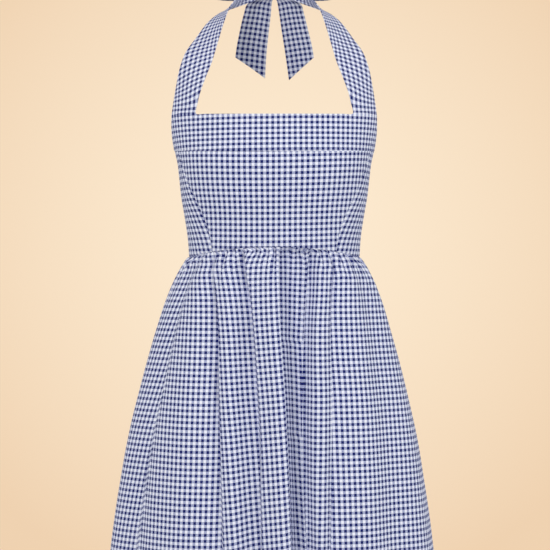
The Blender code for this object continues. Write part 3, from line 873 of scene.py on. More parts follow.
@dataclass
class StitchRow:
    """A row of small stitches along a line on the cloth."""

    name: str
    length: float = 2.1 * MM
    gap: float = 0.9 * MM
    thick: float = 0.34 * MM
    flatness: float = 0.7
    proud: float = 0.12

    def model(self, lines: list[StitchLine], finishes: Finishes) -> None:
        """Lays stitches along lines of points, as one piece.

        Args:
            lines: For each line its points, and the cloth's outward direction at each.
            finishes: The finishes of the dress.
        """
        deselect()
        bpy.ops.mesh.primitive_uv_sphere_add(segments=6, ring_count=4, radius=0.5)
        piece = bpy.context.object
        piece.name = piece.data.name = self.name
        one = np.array([v.co for v in piece.data.vertices])
        one = one * (self.length, self.thick, self.thick * self.flatness)
        faces = [tuple(p.vertices) for p in piece.data.polygons]
        points, all_faces = [], []
        for line, out in lines:
            run = down_column(line)
            pitch = self.length + self.gap
            for place in np.arange(pitch / 2, run[-1] - pitch / 2, pitch):
                at, ahead, back, up = (
                    np.array([np.interp(where, run, table[:, axis]) for axis in range(3)])
                    for where, table in ((place, line), (place + MM, line), (place - MM, line),
                                         (place, out)))
                tangent = (ahead - back) / np.linalg.norm(ahead - back)
                up = up - tangent * np.dot(up, tangent)
                up /= np.linalg.norm(up)
                start = len(points) * len(one)
                turned = one @ np.array([tangent, np.cross(tangent, up), up])
                points.append(at + up * self.thick * self.proud + turned)
                all_faces += [tuple(start + i for i in face) for face in faces]
        mesh = bpy.data.meshes.new(self.name)
        mesh.from_pydata(np.concatenate(points).tolist(), [], all_faces)
        mesh.shade_smooth()
        piece.data = mesh
        paint(piece, finishes.thread.material("thread_" + self.name))
        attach(piece, "dress")
        LOG.info("%s: %d stitches", self.name, len(points))


@dataclass(frozen=True)
class SeamLine:
    """A seam down the bodice, as angles: a princess seam of one side, or a straight line."""

    angle: float
    princess: int = 0

    def __call__(self, z: Array) -> Array:
        """The seam's angle at a height."""
        return self.princess * PATTERN.princess_angle(z) + self.angle


@dataclass
class Bodice:
    """The centre front, the two side fronts and the two backs.
    """

    finishes: Finishes
    under_band: float = 4 * MM
    ripple: float = 0.35
    ripple_radius: float = 130
    stitches_in: tuple[float, float] = (6 * MM, 6.5 * MM)
    seam_turn: float = PATTERN.seam / 2 / 0.12
    side_ease: float = 0.85
    side_lean: float = 0.15
    spread_heights: tuple[float, ...] = (-424, -353, -325, -297, -262)
    spread: tuple[float, ...] = (1.0, 1.0, 0.976, 0.962, 0.96)
    row_reach: float = 80 * MM
    row_slant: float = 0.9 * MM
    row_sag: float = 1.75 * MM
    front_shift: tuple[float, float] = (3.2 * MM, -2.8 * MM)
    stitch_lines: list[StitchLine] = field(default_factory=list)

    def point(self, angle: Array, z: Array, proud: Array) -> Array:
        """A point of the bodice, as an array whose last axis is x, y, z."""
        swell = self.ripple * ripples(angle * self.ripple_radius, z / MM, 1.0)
        x, y = TORSO_FORM.lifted(angle, z / MM, proud + swell)
        return np.stack([x, y, z + 0 * x], axis=-1)

    def waist(self, angle: Array) -> Array:
        """Lower edge of every panel, just above the waist seam."""
        return PATTERN.waist_z(angle) + PATTERN.seam / 2

    def front_top(self, angle: Array) -> Array:
        """Top edge of the centre front, tucked under the band."""
        return PATTERN.band_seam_z(angle) + self.under_band

    def side_top(self, angle: Array) -> Array:
        """Top edge of a side front, tucked under the band and then cut out for the arm."""
        tucked = np.abs(angle) < math.radians(PATTERN.band_end_deg)
        return PATTERN.side_top_z(angle) + self.under_band * tucked

    def panel(self, left: SeamLine, right: SeamLine, top: Line, columns: int, rows: int) -> Array:
        """The points of a panel between two seams, from a top edge to the waist.

        Args:
            left: The seam where the panel starts.
            right: The seam where it ends.
            top: Height of the top edge, by angle.
            columns: Number of columns.
            rows: Number of rows.

        Returns:
            The table of points.
        """
        u, v = np.meshgrid(crowded(columns), crowded(rows))
        angle = mix(left(PATTERN.underarm_z), right(PATTERN.underarm_z), u)
        for _ in range(8):
            z = mix(top(angle), self.waist(angle), v)
            angle = mix(left(z), right(z), u)
        radius = TORSO_FORM.radius(angle, z / MM)
        dip = seam_dip((angle - left(z)) * radius) + seam_dip((right(z) - angle) * radius)
        dip += seam_dip((z - self.waist(angle)) / MM, 0.6, 1.3)
        return self.point(angle, z, -dip)

    def cloth_of(self, points: Array, from_end: bool, lean: float = 0) -> Array:
        """Cloth coordinates of a panel, measured from one of its side edges.

        Args:
            points: The panel's points.
            from_end: Whether the checks follow its last column and not its first.
            lean: Metres across for each metre down.

        Returns:
            Cloth coordinates in metres.
        """
        run = along_row(points)
        if from_end:
            run = run - run[:, -1:]
        heights = np.linspace(PATTERN.waist_side_z, PATTERN.neckline_z, 60)
        slant = down_column(self.point(np.zeros(60), heights, np.zeros(60)))
        along = np.interp(points[..., 2], heights, slant)
        return np.stack([run + lean * along, along], axis=-1)

    def front(self) -> None:
        """Makes the centre front."""
        points = self.panel(SeamLine(self.seam_turn, -1), SeamLine(-self.seam_turn, 1),
                            self.front_top, 130, 84)
        cloth = self.cloth_of(points, False)
        middle = cloth.shape[1] // 2
        cloth[..., 0] -= cloth[:, middle:middle + 1, 0]
        cloth[..., 0] *= curve(self.spread_heights, self.spread)(points[..., 2] / MM)
        x = points[..., 0] / self.row_reach
        cloth[..., 1] -= self.row_slant * x + self.row_sag * x**2
        ClothPiece("centre_front_cloth", points, cloth, "bodice_front", "halter_yoke",
                   shift=self.front_shift).make(self.finishes)

    def flank(self, side: Side) -> None:
        """Makes the side front and the back of one side."""
        turn, right = self.seam_turn, side is Side.RIGHT
        princess = SeamLine(side.value * turn, side.value)
        side_seam = SeamLine(side.value * (math.pi / 2 - turn))
        edges = (princess, side_seam) if right else (side_seam, princess)
        points = self.panel(*edges, self.side_top, 56, 84)
        cloth = self.cloth_of(points, right, -self.side_lean * side.value)
        cloth[..., 0] *= self.side_ease
        front = f"side_front_{side.word}"
        ClothPiece(front + "_cloth", points, cloth, front, "halter_yoke").make(self.finishes)
        start = math.pi / 2 if right else math.pi
        edges = (SeamLine(start + turn), SeamLine(start + math.pi / 2 - turn))
        points = self.panel(*edges, PATTERN.back_top, 80, 64)
        back = f"back_{side.word}"
        ClothPiece(back + "_cloth", points, self.cloth_of(points, right), back,
                   front).make(self.finishes)
        self.edge_stitches(points)

    def edge_stitches(self, points: Array) -> None:
        """Keeps the lines of stitches below a back's top edge and beside its zip."""
        out = outward(points)
        z, x = points[..., 2], np.abs(points[..., 0])
        columns, rows = np.arange(points.shape[1]), np.arange(points.shape[0])
        from_top, from_zip = self.stitches_in
        top = np.argmin(np.abs(z - (z[:1] - from_top)), axis=0)
        beside = np.argmin(np.abs(x - from_zip), axis=1)
        for line in ((top, columns), (rows, beside)):
            self.stitch_lines.append((points[line], out[line]))

    def build(self) -> None:
        """Makes all five panels and their rows of stitches."""
        self.front()
        for side in Side:
            self.flank(side)
        StitchRow("back_edge_stitches").model(self.stitch_lines, self.finishes)


@dataclass
class Skirt:
    """The gathered skirt: a front and two backs, with their folds and a turned-up hem.

    Bare lengths are in millimetres. The hem's rows give how far each lies up from the hem, and
    how far inside the cloth's outer face. Near the zip the cloth lies flat.
    """

    finishes: Finishes
    length: float = 477
    gathers: int = 46
    gather_rise: float = 6
    gather_fade: float = 19
    long_gathers: int = 23
    long_gather_rise: float = 1.2
    long_gather_fade: float = 95
    zip_flat_reach: float = 24
    fold_start: float = 22
    crease_start: float = 12
    ripple: float = 0.4
    sunk_rise: tuple[float, float] = (13.5, 13)
    stretch_along: float = 0.985
    crease_take_up: float = 0.8
    gather_pull: tuple[float, float] = (0.4 * MM, 0.45 * MM)
    top_rows: tuple[float, ...] = (0, 1, 2.2, 3.8, 5.6, 7.6, 10, 12.5, 15.5, 19, 23, 27, 32, 37,
                                   43, 50)
    low_rows: tuple[float, float, int] = (57, 484, 58)
    hem_rows: tuple[tuple[float, float], ...] = (
        (-0.45, 0.25), (-0.6, 0.75), (-0.3, 1.3), (1.2, 1.5), (7, 1.5), (13, 1.5), (19, 1.5),
        (20, 1.3))
    hem_stitch_up: float = 18

    def crease_angle(self, crease: Crease, drop: Array) -> Array:
        """Angle of a crease at a drop from the waist in millimetres."""
        return np.radians(curve(CREASE_DROPS, crease[:4])(np.minimum(drop, 500)))

    def crease_depth(self, crease: Crease, after: Crease, angle: Array, part: Array,
                     drop: Array, radius: Array) -> Array:
        """How far one crease carries the cloth in.

        Args:
            crease: The crease.
            after: The next crease, where its gore ends.
            angle: Angle from the centre front.
            part: Share down the skirt.
            drop: Drop from the waist in millimetres.
            radius: Millimetres of cloth for each radian.

        Returns:
            The depth in millimetres.
        """
        gap = half_turned(angle - self.crease_angle(crease, drop)) * radius
        left = half_turned(self.crease_angle(after, drop) - angle) * radius
        beyond = eased(gap / crease.edge)
        fade = np.exp(-np.maximum(np.maximum(gap - crease.edge, -gap), 0) / crease.tail)
        depth = (crease.step * beyond + crease.before * (1 - beyond)) * fade
        if crease.sunk:
            share = np.clip(gap / np.maximum(gap + left, 1), 0, 1)
            start, reach = self.sunk_rise
            depth = (depth + crease.sunk * share) * eased((left + start) / reach)
        depth = depth + crease.slit * np.exp(-((gap / crease.reach) ** 2))
        started = 1 - np.exp(-drop / self.crease_start)
        return depth * started * curve(LEVELS, crease.strength)(part)

    def gather_turn(self, angle: Array) -> Array:
        """The angle made uneven, so that no two gathers are the same width."""
        return angle + 0.06 * np.sin(5 * angle + 1.1) + 0.03 * np.sin(11 * angle)

    def puckers(self, angle: Array, drop: Array) -> Array:
        """The small gathers under the waist seam, in millimetres out from the form."""
        turn = self.gathers * self.gather_turn(angle)
        started = 0.5 + 0.5 * (1 - np.exp(-drop / 3))
        uneven = 0.66 + 0.4 * np.sin(7 * angle + 0.6) * np.sin(17 * angle + 2)
        fade = self.gather_fade * (1 + 0.4 * np.sin(9 * angle + 1))
        sharp = 0.45 - 1.9 * (0.5 - 0.5 * np.cos(turn)) ** 3
        fine = 0.9 * np.exp(-drop / 8) * np.cos(1.73 * turn + 2 * np.sin(4 * angle))
        return started * (self.gather_rise * uneven * np.exp(-drop / fade) * sharp + fine)

    def rise(self, angle: Array, part: Array, drop: Array, creased: float = 1) -> Array:
        """How far the folds carry the cloth out from the form, with a share of the creases."""
        widths = SKIRT_FORM.reader("half_width")
        grown = (widths(drop) - SKIRT[0].half_width) / (SKIRT[-1].half_width - SKIRT[0].half_width)
        towards_hem = np.clip(grown, 0, 1) ** 0.75
        away = 1 - np.exp(-drop / self.fold_start)
        radius = SKIRT_FORM.radius(angle, drop)
        total = self.puckers(angle, drop)
        for fold in FOLDS:
            centre = np.radians(mix(fold.waist_deg, fold.hem_deg, towards_hem))
            reach = mix(fold.waist_reach, fold.hem_reach, part)
            levels = (fold.waist_rise, fold.middle_rise, fold.hem_rise)
            total = total + away * curve(LEVELS, levels)(part) * np.exp(
                -((half_turned(angle - centre) * radius / reach) ** 2))
        length = self.long_gather_fade * (0.7 + 0.3 * np.sin(4 * angle + 2))
        total = total + self.long_gather_rise * away * np.exp(-drop / length) * np.cos(
            self.long_gathers * self.gather_turn(angle) + 0.8)
        for creases in (FRONT_CREASES, BACK_CREASES):
            for crease, after in zip(creases, creases[1:]):
                depth = self.crease_depth(crease, after, angle, part, drop, radius)
                total = total - creased * depth
        total = total + self.ripple * away * ripples(angle * radius, drop, 2.0)
        from_zip = half_turned(angle - math.pi) * radius
        return total * (1 - 0.97 * np.exp(-((from_zip / self.zip_flat_reach) ** 4)))

    def point(self, angle: Array, part: Array, proud: Array | float = 0.0,
              creased: float = 1) -> Array:
        """A point of the skirt.

        Args:
            angle: Angle from the centre front.
            part: 0 at the waist seam and 1 at the hem.
            proud: How far it lies outside the cloth, in millimetres.
            creased: The share of the creases' depth.

        Returns:
            Its place, whose last axis is x, y, z.
        """
        top = PATTERN.waist_z(angle) - PATTERN.seam / 2
        z = mix(top, PATTERN.hem_z, part)
        drop = (top - z) / MM
        x, y = SKIRT_FORM.lifted(angle, drop, self.rise(angle, part, drop, creased) + proud)
        return np.stack([x, y, z], -1)

    def stations(self) -> Array:
        """Shares down the skirt, close under the gathers and wide below."""
        return np.concatenate([self.top_rows, np.linspace(*self.low_rows)]) / self.low_rows[1]

    def panel(self, creases: tuple[Crease, ...],
              counts: tuple[int, ...]) -> tuple[Array, Array, Array]:
        """The points and cloth coordinates of a panel whose columns run along its creases.

        Args:
            creases: The panel's creases, from its first seam to its last.
            counts: The number of columns in each gore between them.

        Returns:
            The table of points, the cloth coordinates and the panel laid out flat.
        """
        down = self.stations()[:, None]
        lines = [self.crease_angle(crease, down * self.length) for crease in creases]
        shares = [crowded(count)[None, 1:] for count in counts]
        gores = [mix(*ends, share) for *ends, share in zip(lines, lines[1:], shares)]
        angle = np.concatenate([lines[0], *gores], axis=1)
        marks = np.cumsum([0, *counts])
        part = down + 0 * angle
        radius = SKIRT_FORM.radius(angle, part * self.length)
        trim = PATTERN.seam / 2 / MM / radius
        angle = lines[0] + (angle - lines[0]) * (1 - 2 * trim / (lines[-1] - lines[0])) + trim
        dip = seam_dip((angle - lines[0]) * radius) + seam_dip((lines[-1] - angle) * radius)
        dip = dip + seam_dip(part * self.length, 0.6, 1.3)
        outer = self.point(angle, part, -dip)
        cloth = self.cloth_of(outer, self.cloth_run(angle, part, creases), part, creases, marks)
        hem, hem_cloth = self.hem_part(angle[-1], cloth[-1])
        points = np.concatenate([outer, hem])
        across = along_row(points)
        along = along_row(points.swapaxes(0, 1)).T
        flat = np.stack([across - across.mean(axis=1, keepdims=True), -along], -1)
        return points, np.concatenate([cloth, hem_cloth]), flat

    def cloth_run(self, angle: Array, part: Array, creases: tuple[Crease, ...]) -> Array:
        """Length of cloth along each row, without what is folded away in the creases' walls.

        Args:
            angle: Angles of the panel's points.
            part: Share down the skirt of each point.
            creases: The panel's creases.

        Returns:
            The length from the first column, in metres.
        """
        drop = part * self.length
        radius = SKIRT_FORM.radius(angle, drop)
        smooth = np.diff(along_row(self.point(angle, part, 0.0, 0.0)))
        steps = mix(smooth, np.diff(along_row(self.point(angle, part))), self.crease_take_up)
        for crease in creases:
            gap = (angle - self.crease_angle(crease, drop)) * radius
            middle = (gap[:, 1:] + gap[:, :-1]) / 2
            walled = (middle > -0.1) & (middle < crease.edge + 0.1)
            steps = np.where(walled, smooth, steps)
        return np.cumsum(np.pad(steps, ((0, 0), (1, 0))), axis=1)

    def hem_part(self, angle: Array, cloth: Array) -> tuple[Array, Array]:
        """The rows that turn under at the hem and run up inside it.

        Args:
            angle: The angles along the last outer row.
            cloth: Its cloth coordinates.

        Returns:
            Points and cloth coordinates of the added rows.
        """
        points, coordinates = [], []
        for up, inside in self.hem_rows:
            part = 1 - max(up, 0) / self.length
            points.append(self.point(angle, np.full_like(angle, part), -inside))
            points[-1][:, 2] += min(up, 0) * MM
            run = (0.5 + max(up, 0) + inside * 0.5) * MM
            coordinates.append(cloth - (0, run))
        return np.array(points), np.array(coordinates)

    def cloth_of(self, points: Array, run: Array, part: Array, creases: tuple[Crease, ...],
                 marks: Array) -> Array:
        """Cloth coordinates of a panel, gore by gore.

        Args:
            points: The panel's points.
            run: Length of cloth along each row, in metres.
            part: Share down the skirt of each point.
            creases: The creases between the gores.
            marks: The column of each crease.

        Returns:
            Cloth coordinates in metres.
        """
        middle = self.form_line(np.linspace(0, 1, 200))
        level = np.interp(points[..., 2], middle[::-1, 2], -down_column(middle)[::-1])
        angle = np.arctan2(points[..., 0], SKIRT_FORM.axis_y - points[..., 1])
        pull_across, pull_along = self.gather_pull
        level = level * self.stretch_along - pull_along * self.puckers(angle, part * self.length)
        pulled = pull_across * self.puckers(angle + 0.02, part * self.length)
        across, along = None, None
        repeat = self.finishes.gingham.repeat_across
        for crease, start, end in zip(creases, marks, marks[1:]):
            move, lift, tilt = (curve(LEVELS, levels)(part)
                                for levels in (crease.move, crease.lift, crease.tilt_deg))
            mark = start if crease.follow is Follow.START else end
            from_crease = run - run[:, start:start + 1]
            own = run - run[:, mark:mark + 1] - move * MM
            own_along = level - lift * MM - np.tan(np.radians(tilt)) * from_crease
            if across is None:
                across, along = own, own_along
                continue
            jump = float((across - own)[:, start].mean())
            own = own + repeat * round(jump / repeat)
            share = eased(from_crease / (crease.width * MM) + 0.5)
            across, along = mix(across, own, share), mix(along, own_along, share)
        return np.stack([across + pulled, along], axis=-1)

    def form_line(self, part: Array) -> Array:
        """The form's own line down the front, without folds, at shares from waist to hem."""
        top = PATTERN.waist_z(np.zeros(1))[0]
        z = mix(top, PATTERN.hem_z, part)
        x, y = SKIRT_FORM.at(0 * part, (top - z) / MM)
        return np.stack([x, y, z], -1)

    def build(self) -> None:
        """Makes the three panels and the stitches of the hem."""
        hem: list[StitchLine] = []
        for node, creases, counts in (
            ("skirt_front", FRONT_CREASES, (46, 84, 30, 28, 28, 26, 110)),
            ("skirt_back_right", BACK_CREASES[:4], (62, 52, 58)),
            ("skirt_back_left", BACK_CREASES[3:], (56, 54, 62)),
        ):
            points, cloth, flat = self.panel(creases, counts)
            ClothPiece(node + "_cloth", points, cloth, node, "bodice_front", Held.GATHERED,
                       flat=flat).make(self.finishes)
            outer = points[: len(self.stations())]
            height = PATTERN.hem_z + self.hem_stitch_up * MM
            row = int(np.argmin(np.abs(outer[:, 0, 2] - height)))
            hem.append((outer[row], outward(outer)[row]))
        StitchRow("hem_stitches", length=2.4 * MM, gap=1.2 * MM).model(hem, self.finishes)


@dataclass
class Yoke:
    """The neck band and both straps, cut in one, of doubled cloth.

    The band stands proud of the form in the middle and less at its sides. Its rows slant and sag
    over row_reach. On the straps the rows rise towards the inner edge by the slope, and the
    columns drift across by the grain.
    """

    finishes: Finishes
    proud: float = 2.6
    side_proud: float = 0.9
    thickness: float = 1.2 * MM
    inner_share: float = 0.62
    strap_columns: int = 26
    neck_columns: int = 96
    band_rows: int = 30
    strap_rows: int = 96
    draw_in: float = 0.985
    row_reach: float = 70 * MM
    row_slant: float = 1.0 * MM
    row_sag: float = 0.3 * MM
    shift: tuple[float, float] = (4.2 * MM, 3.6 * MM)
    bulge_fade: float = 70 * MM
    crown: float = 1.6
    knot_pleats: float = 0.9
    slope: float = 0.62
    slope_start: float = 50 * MM
    grain: float = 0.22
    grain_start: float = 12 * MM
    narrowing: tuple[float, float] = (0.1, 60 * MM)
    soft_reach: float = 16 * MM

    def band_point(self, u: Array, v: Array, proud: Array | float = 0) -> Array:
        """A point of the band, where u is 0 and 1 at its ends and v is 0 at the neckline."""
        side = 2 * u - 1
        inner = math.radians(PATTERN.strap_inner_deg)
        out = np.abs(side)
        past = np.maximum(out - self.inner_share, 0) / (1 - self.inner_share)
        angle = np.minimum(out, self.inner_share) / self.inner_share * inner
        for _ in range(5):
            z = mix(PATTERN.neckline_z + PATTERN.neckline_rise(angle),
                    PATTERN.band_seam_z(angle) + PATTERN.seam / 2, v)
            angle = np.where(past > 0, mix(inner, PATTERN.armhole_angle(z), past), angle)
        x, y = TORSO_FORM.lifted(np.sign(side) * angle, z / MM, proud)
        return np.stack([x, y, z], -1)

    def stations(self) -> Array:
        """Shares across the band, with the strap's own columns at both ends."""
        edge = (1 - self.inner_share) / 2
        left = edge * crowded(self.strap_columns, 0.5)
        middle = mix(edge, 1 - edge, np.linspace(0, 1, self.neck_columns + 1))
        return np.concatenate([left, middle[1:-1], 1 - left[::-1]])

    def band(self) -> tuple[Array, Array]:
        """The points and cloth coordinates of the band."""
        u, v = np.meshgrid(self.stations(), crowded(self.band_rows, 0.6))
        heights = self.band_point(u, v)[..., 2]
        length = np.abs(heights[-1:] - heights[:1]) / MM
        side = 2 * u - 1
        outer = eased((np.abs(side) - 0.3) / 0.3)
        at_neck = eased((self.inner_share - np.abs(side)) / 0.03)
        free = np.minimum(u, 1 - u) * 400
        edge = seam_dip((1 - v) * length, mix(0.9, 0, outer), 1.6)
        edge = edge + seam_dip(v * length, 0.55, 1.2) * at_neck
        edge = edge + seam_dip(free, 0.55, 1.3) * eased(v * 3)
        swell = 0.25 * ripples(side * 150, v * 50, 4.0)
        band = self.band_point(u, v, mix(self.proud, self.side_proud, outer) - edge + swell)
        run = along_row(band)
        middle = run.shape[1] // 2
        run = (run - run[:, middle:middle + 1]) * self.draw_in
        heights = np.linspace(-285, -205, 60) * MM
        x, y = TORSO_FORM.at(np.zeros(60), heights / MM)
        along = np.interp(band[..., 2], heights, down_column(np.stack([x, y, heights], -1)))
        x = band[..., 0] / self.row_reach
        along = along - (self.row_slant * x + self.row_sag * x**2)
        return band, np.stack([run, along], axis=-1)

    def strap(self, base: Array, base_out: Array) -> Array:
        """The points of the right strap, with the band's own row as its first.

        Args:
            base: The band's points where the strap starts, from its inner edge.
            base_out: The outward directions there.

        Returns:
            The table of points, whose rows run up the strap.
        """
        inner = np.array([base[0]] + [np.array(s.inner) * MM for s in STRAP])
        outer = np.array([base[-1]] + [np.array(s.outer) * MM for s in STRAP])
        length = down_column((inner + outer) / 2)
        place = np.linspace(0, length[-1], self.strap_rows + 1)
        edges = [np.stack([curve(length, edge[:, i])(place) for i in range(3)], -1)
                 for edge in (inner, outer)]
        width = np.linalg.norm(edges[0] - edges[1], axis=-1)[:, None, None] / MM
        share = crowded(self.strap_columns, 0.5)[None, :, None]
        points = mix(edges[0][:, None], edges[1][:, None], share)
        out = np.cross(np.gradient(points, axis=1), np.gradient(points, axis=0))
        out /= np.linalg.norm(out, axis=-1, keepdims=True)
        place = place[:, None, None]
        bulge = base - mix(base[0], base[-1], share[0])
        fade = 1 - eased(place / self.bulge_fade)
        start = eased(place / (25 * MM))
        near_knot = eased((place - length[-1] + 90 * MM) / (80 * MM))
        proud = self.crown * 4 * share * (1 - share) * (1 - fade)
        proud = proud + self.knot_pleats * near_knot * np.cos(share * 2 * math.pi * 2.5 + 0.7)
        proud = proud + 0.5 * start * np.sin(place / (27 * MM)) * np.sin(math.pi * share)
        proud = proud - seam_dip(np.minimum(share, 1 - share) * width, 0.55, 1.3) * start
        lean = mix(base_out[None], out, eased(place / (20 * MM)))
        points = points + bulge * fade + lean * proud * MM
        points[0] = base
        return points

    def strap_cloth(self, strap: Array, base: Array) -> Array:
        """Cloth coordinates up a strap, whose rows rise towards its inner edge."""
        length = down_column(strap.mean(axis=1))[:, None]
        width = base[-1, 0] - base[0, 0]
        share = (base[:, 0] - base[0, 0]) / width
        slope = self.slope * eased(length / self.slope_start)
        less, reach = self.narrowing
        wide = 1 - less * eased(length / reach)
        drift = length - self.grain_start * (1 - np.exp(-length / self.grain_start))
        across = base[0, 0] + share[None] * width * wide - self.grain * drift
        along = base[None, :, 1] + length - slope * (0.5 - share)[None] * width
        return np.stack([across, along], axis=-1)

    def build(self) -> None:
        """Makes the band and the straps as one sheet, and the stitches round its edges."""
        band, cloth = self.band()
        out = outward(band)
        count = self.strap_columns + 1
        ends = {Side.RIGHT: (slice(-count, None), slice(None)),
                Side.LEFT: (slice(count - 1, None, -1), slice(None, None, -1))}
        pieces = [grid_piece("halter_yoke_cloth", band, cloth)]
        parts, bases, straps = [], [], []
        for side, (end, columns) in ends.items():
            mirror = np.array([side.value, 1, 1])
            strap = self.strap(band[0, end] * mirror, out[0, end] * mirror)
            strap_cloth = self.strap_cloth(strap, cloth[0, end] * mirror[:2])
            parts.append((strap_cloth * mirror[:2])[::-1, columns])
            pieces.append(grid_piece("strap", (strap * mirror)[::-1, columns], parts[-1]))
            bases.append(band[0, end])
            straps.append((strap, mirror))
        whole = weld(pieces)
        self.soften(whole, np.concatenate(bases))
        thicken(whole, self.thickness)
        ClothPiece("halter_yoke_cloth", band, cloth, "halter_yoke", "tie_knot", Held.STRETCHED,
                   shift=self.shift, more=tuple(parts)).dress(whole, self.finishes)
        self.stitches(band, out, straps)

    def soften(self, whole: Piece, base: Array) -> None:
        """Rounds off the bend where the straps leave the band.

        Args:
            whole: The welded sheet.
            base: The points of both straps' lowest rows.
        """
        near = whole.vertex_groups.new(name="near_base")
        for vertex in whole.data.vertices:
            away = np.linalg.norm(base - np.array(vertex.co), axis=1).min() / self.soft_reach
            if away < 1:
                near.add([vertex.index], float(1 - away), "REPLACE")
        smooth = whole.modifiers.new("soften", "SMOOTH")
        smooth.factor = 0.5
        smooth.iterations = 30
        smooth.vertex_group = near.name
        apply_modifier(whole, smooth)

    def stitches(self, band: Array, out: Array, straps: list[tuple[Array, Array]]) -> None:
        """Lays the rows of stitches beside the edges of the band and the straps.

        Args:
            band: The band's points.
            out: The outward directions there.
            straps: Each strap's points as built on the right, and what mirrors them.
        """
        low = int(self.band_rows * 0.93)
        neck = slice(self.strap_columns + 3, band.shape[1] - self.strap_columns - 3)
        lines = [(band[low], out[low]), (band[3, neck], out[3, neck])]
        for strap, mirror in straps:
            strap_out = -outward(strap)
            for column in (3, self.strap_columns - 3):
                lines.append((strap[8:, column] * mirror, strap_out[8:, column] * mirror))
        StitchRow("yoke_stitches").model(lines, self.finishes)


@dataclass
class Bow:
    """The knot at the nape, two loops and two hanging tails.

    Bare lengths are in millimetres. The tones darken the cloth, which lies in the shade there.
    """

    finishes: Finishes
    knot_centre: tuple[float, float, float] = (0, 14, 0)
    knot_half: tuple[float, float, float] = (13.6, 13, 18.5)
    knot_cut: tuple[float, float] = (44, 96)
    knot_thickness: float = 0.5 * MM
    width: float = 47
    thickness: float = 0.9 * MM
    loop_root: float = 14
    loop_behind: float = 19.5
    loop_length: float = 82
    loop_depth: float = 12
    root_half: float = 8.5
    tail_turn: float = 5
    tail_hang_deg: float = 9
    # Painted shade: the knot, loops and tails have their colours darkened for the shade they lie
    # in, the left tail a little more than the right.
    knot_painted_shade: float = 0.6
    loop_painted_shade: float = 0.6
    right_tail_painted_shade: float = 0.76
    left_tail_painted_shade: float = 0.74

    def loop(self, side: Side) -> tuple[Array, Array]:
        """The points and cloth coordinates of one loop."""
        u, v = np.meshgrid(np.linspace(0, 1, 101), np.linspace(0, 1, 33))
        along = u if side is Side.RIGHT else 1 - u
        turn = 2 * math.pi * mix(0.065, 0.935, along)
        out = (1 - np.cos(turn)) / 2
        x = self.loop_root + self.loop_length * (out - 0.04) / 0.96
        open_by = self.loop_depth * np.sin(turn) * (0.42 + 0.58 * out)
        half = mix(self.root_half, self.width / 2, np.clip(out / 0.42, 0, 1) ** 0.7)
        half = half * (1 - 0.1 * np.clip((out - 0.7) / 0.3, 0, 1) ** 2)
        pleat = 0.9 * np.cos(3 * math.pi * v) * np.exp(-((out / 0.22) ** 2))
        fine = 0.9 * np.cos(7 * math.pi * v + 1.2 * np.sign(np.sin(turn))) * np.exp(
            -((out / 0.45) ** 2)) * eased(out / 0.08)
        cup = 3 * (2 * v - 1) ** 2 * np.sin(math.pi * np.clip(out, 0, 1))
        soft = 0.8 * ripples(out * 90, v * 60, 5.0 + side.value) * eased(out / 0.3)
        facing = np.sign(np.sin(turn)) * np.minimum(1, np.abs(np.sin(turn)) * 3)
        y = self.loop_behind + 2 * out - open_by + pleat + cup - (fine + soft) * facing
        z = half * (1 - 2 * v) - 0.5
        points = np.stack([side.value * x, y, z], -1) * MM
        run = along_row(points)
        length = run.mean(axis=0, keepdims=True) + 0 * run
        return points, np.stack([(v - 0.5) * self.width * MM, length], -1)

    def tail(self, side: Side) -> tuple[Array, Array]:
        """The points and cloth coordinates of one tail."""
        u, v = np.meshgrid(crowded(30), np.linspace(0, 1, 81))
        rows = np.linspace(0, 1, len(TAILS[side]))
        near_x, near_z, far_x, far_z, behind, cup = (
            curve(rows, column)(v) for column in zip(*TAILS[side]))
        inner = u if side is Side.RIGHT else 1 - u
        x, z = mix(near_x, far_x, inner), mix(near_z, far_z, inner)
        bend = cup * (np.cos(math.pi * (inner - 0.42) * 1.6) - 0.5)
        pleat = 1.1 * np.cos(inner * 5 * math.pi + 0.5) * np.exp(-(v / 0.16) ** 2) * eased(v * 12)
        soft = 0.7 * ripples(inner * 60, v * 130, 7.0 + side.value) * eased(v * 5)
        turned = self.tail_turn * (inner - 0.5) * eased(v * 4)
        points = np.stack([side.value * x, behind - bend - pleat - soft + turned, z], -1) * MM
        hang = math.radians(self.tail_hang_deg)
        along = (z * math.cos(hang) - x * math.sin(hang)) * MM
        return points, np.stack([(u - 0.5) * self.width * MM, along], -1)

    def knot(self) -> tuple[Array, Array]:
        """The points and cloth coordinates of the knot, a wrapped band drawn tight."""
        u, v = np.meshgrid(np.linspace(0, 1, 57), np.linspace(0, 1, 97))
        around = 2 * math.pi * v + 0.4
        bulge = np.sin(math.pi * np.clip(u, 0, 1)) ** 0.55
        wraps = 1 + 0.055 * np.cos(2 * math.pi * (u * 3 + 0.12 * np.sin(around + 1))) * bulge
        lap = 1 - 0.10 * np.exp(-(((u - 0.34 - 0.05 * np.sin(around)) / 0.035) ** 2))
        radius = 0.97 * bulge * wraps * lap
        out = (-np.cos(math.pi * u), radius * np.sin(around), radius * np.cos(around))
        points = np.array(self.knot_centre) + np.array(self.knot_half) * np.stack(out, -1)
        return points * MM, np.stack([u, v], -1) * self.knot_cut * MM

    def build(self) -> None:
        """Makes the knot, the loops and the tails."""
        ClothPiece("tie_knot_cloth", *self.knot(), "tie_knot", "halter_yoke", Held.FOLDED,
                   self.knot_thickness, painted_shade=self.knot_painted_shade, closed=True).make(self.finishes)
        for side in Side:
            loop, tail = f"bow_loop_{side.word}", f"tie_tail_{side.word}"
            ClothPiece(loop + "_cloth", *self.loop(side), loop, "tie_knot", Held.FOLDED,
                       self.thickness, painted_shade=self.loop_painted_shade).make(self.finishes)
            painted_shade = self.right_tail_painted_shade if side is Side.RIGHT else self.left_tail_painted_shade
            ClothPiece(tail + "_cloth", *self.tail(side), tail, "tie_knot", Held.HUNG,
                       self.thickness, painted_shade=painted_shade).make(self.finishes)


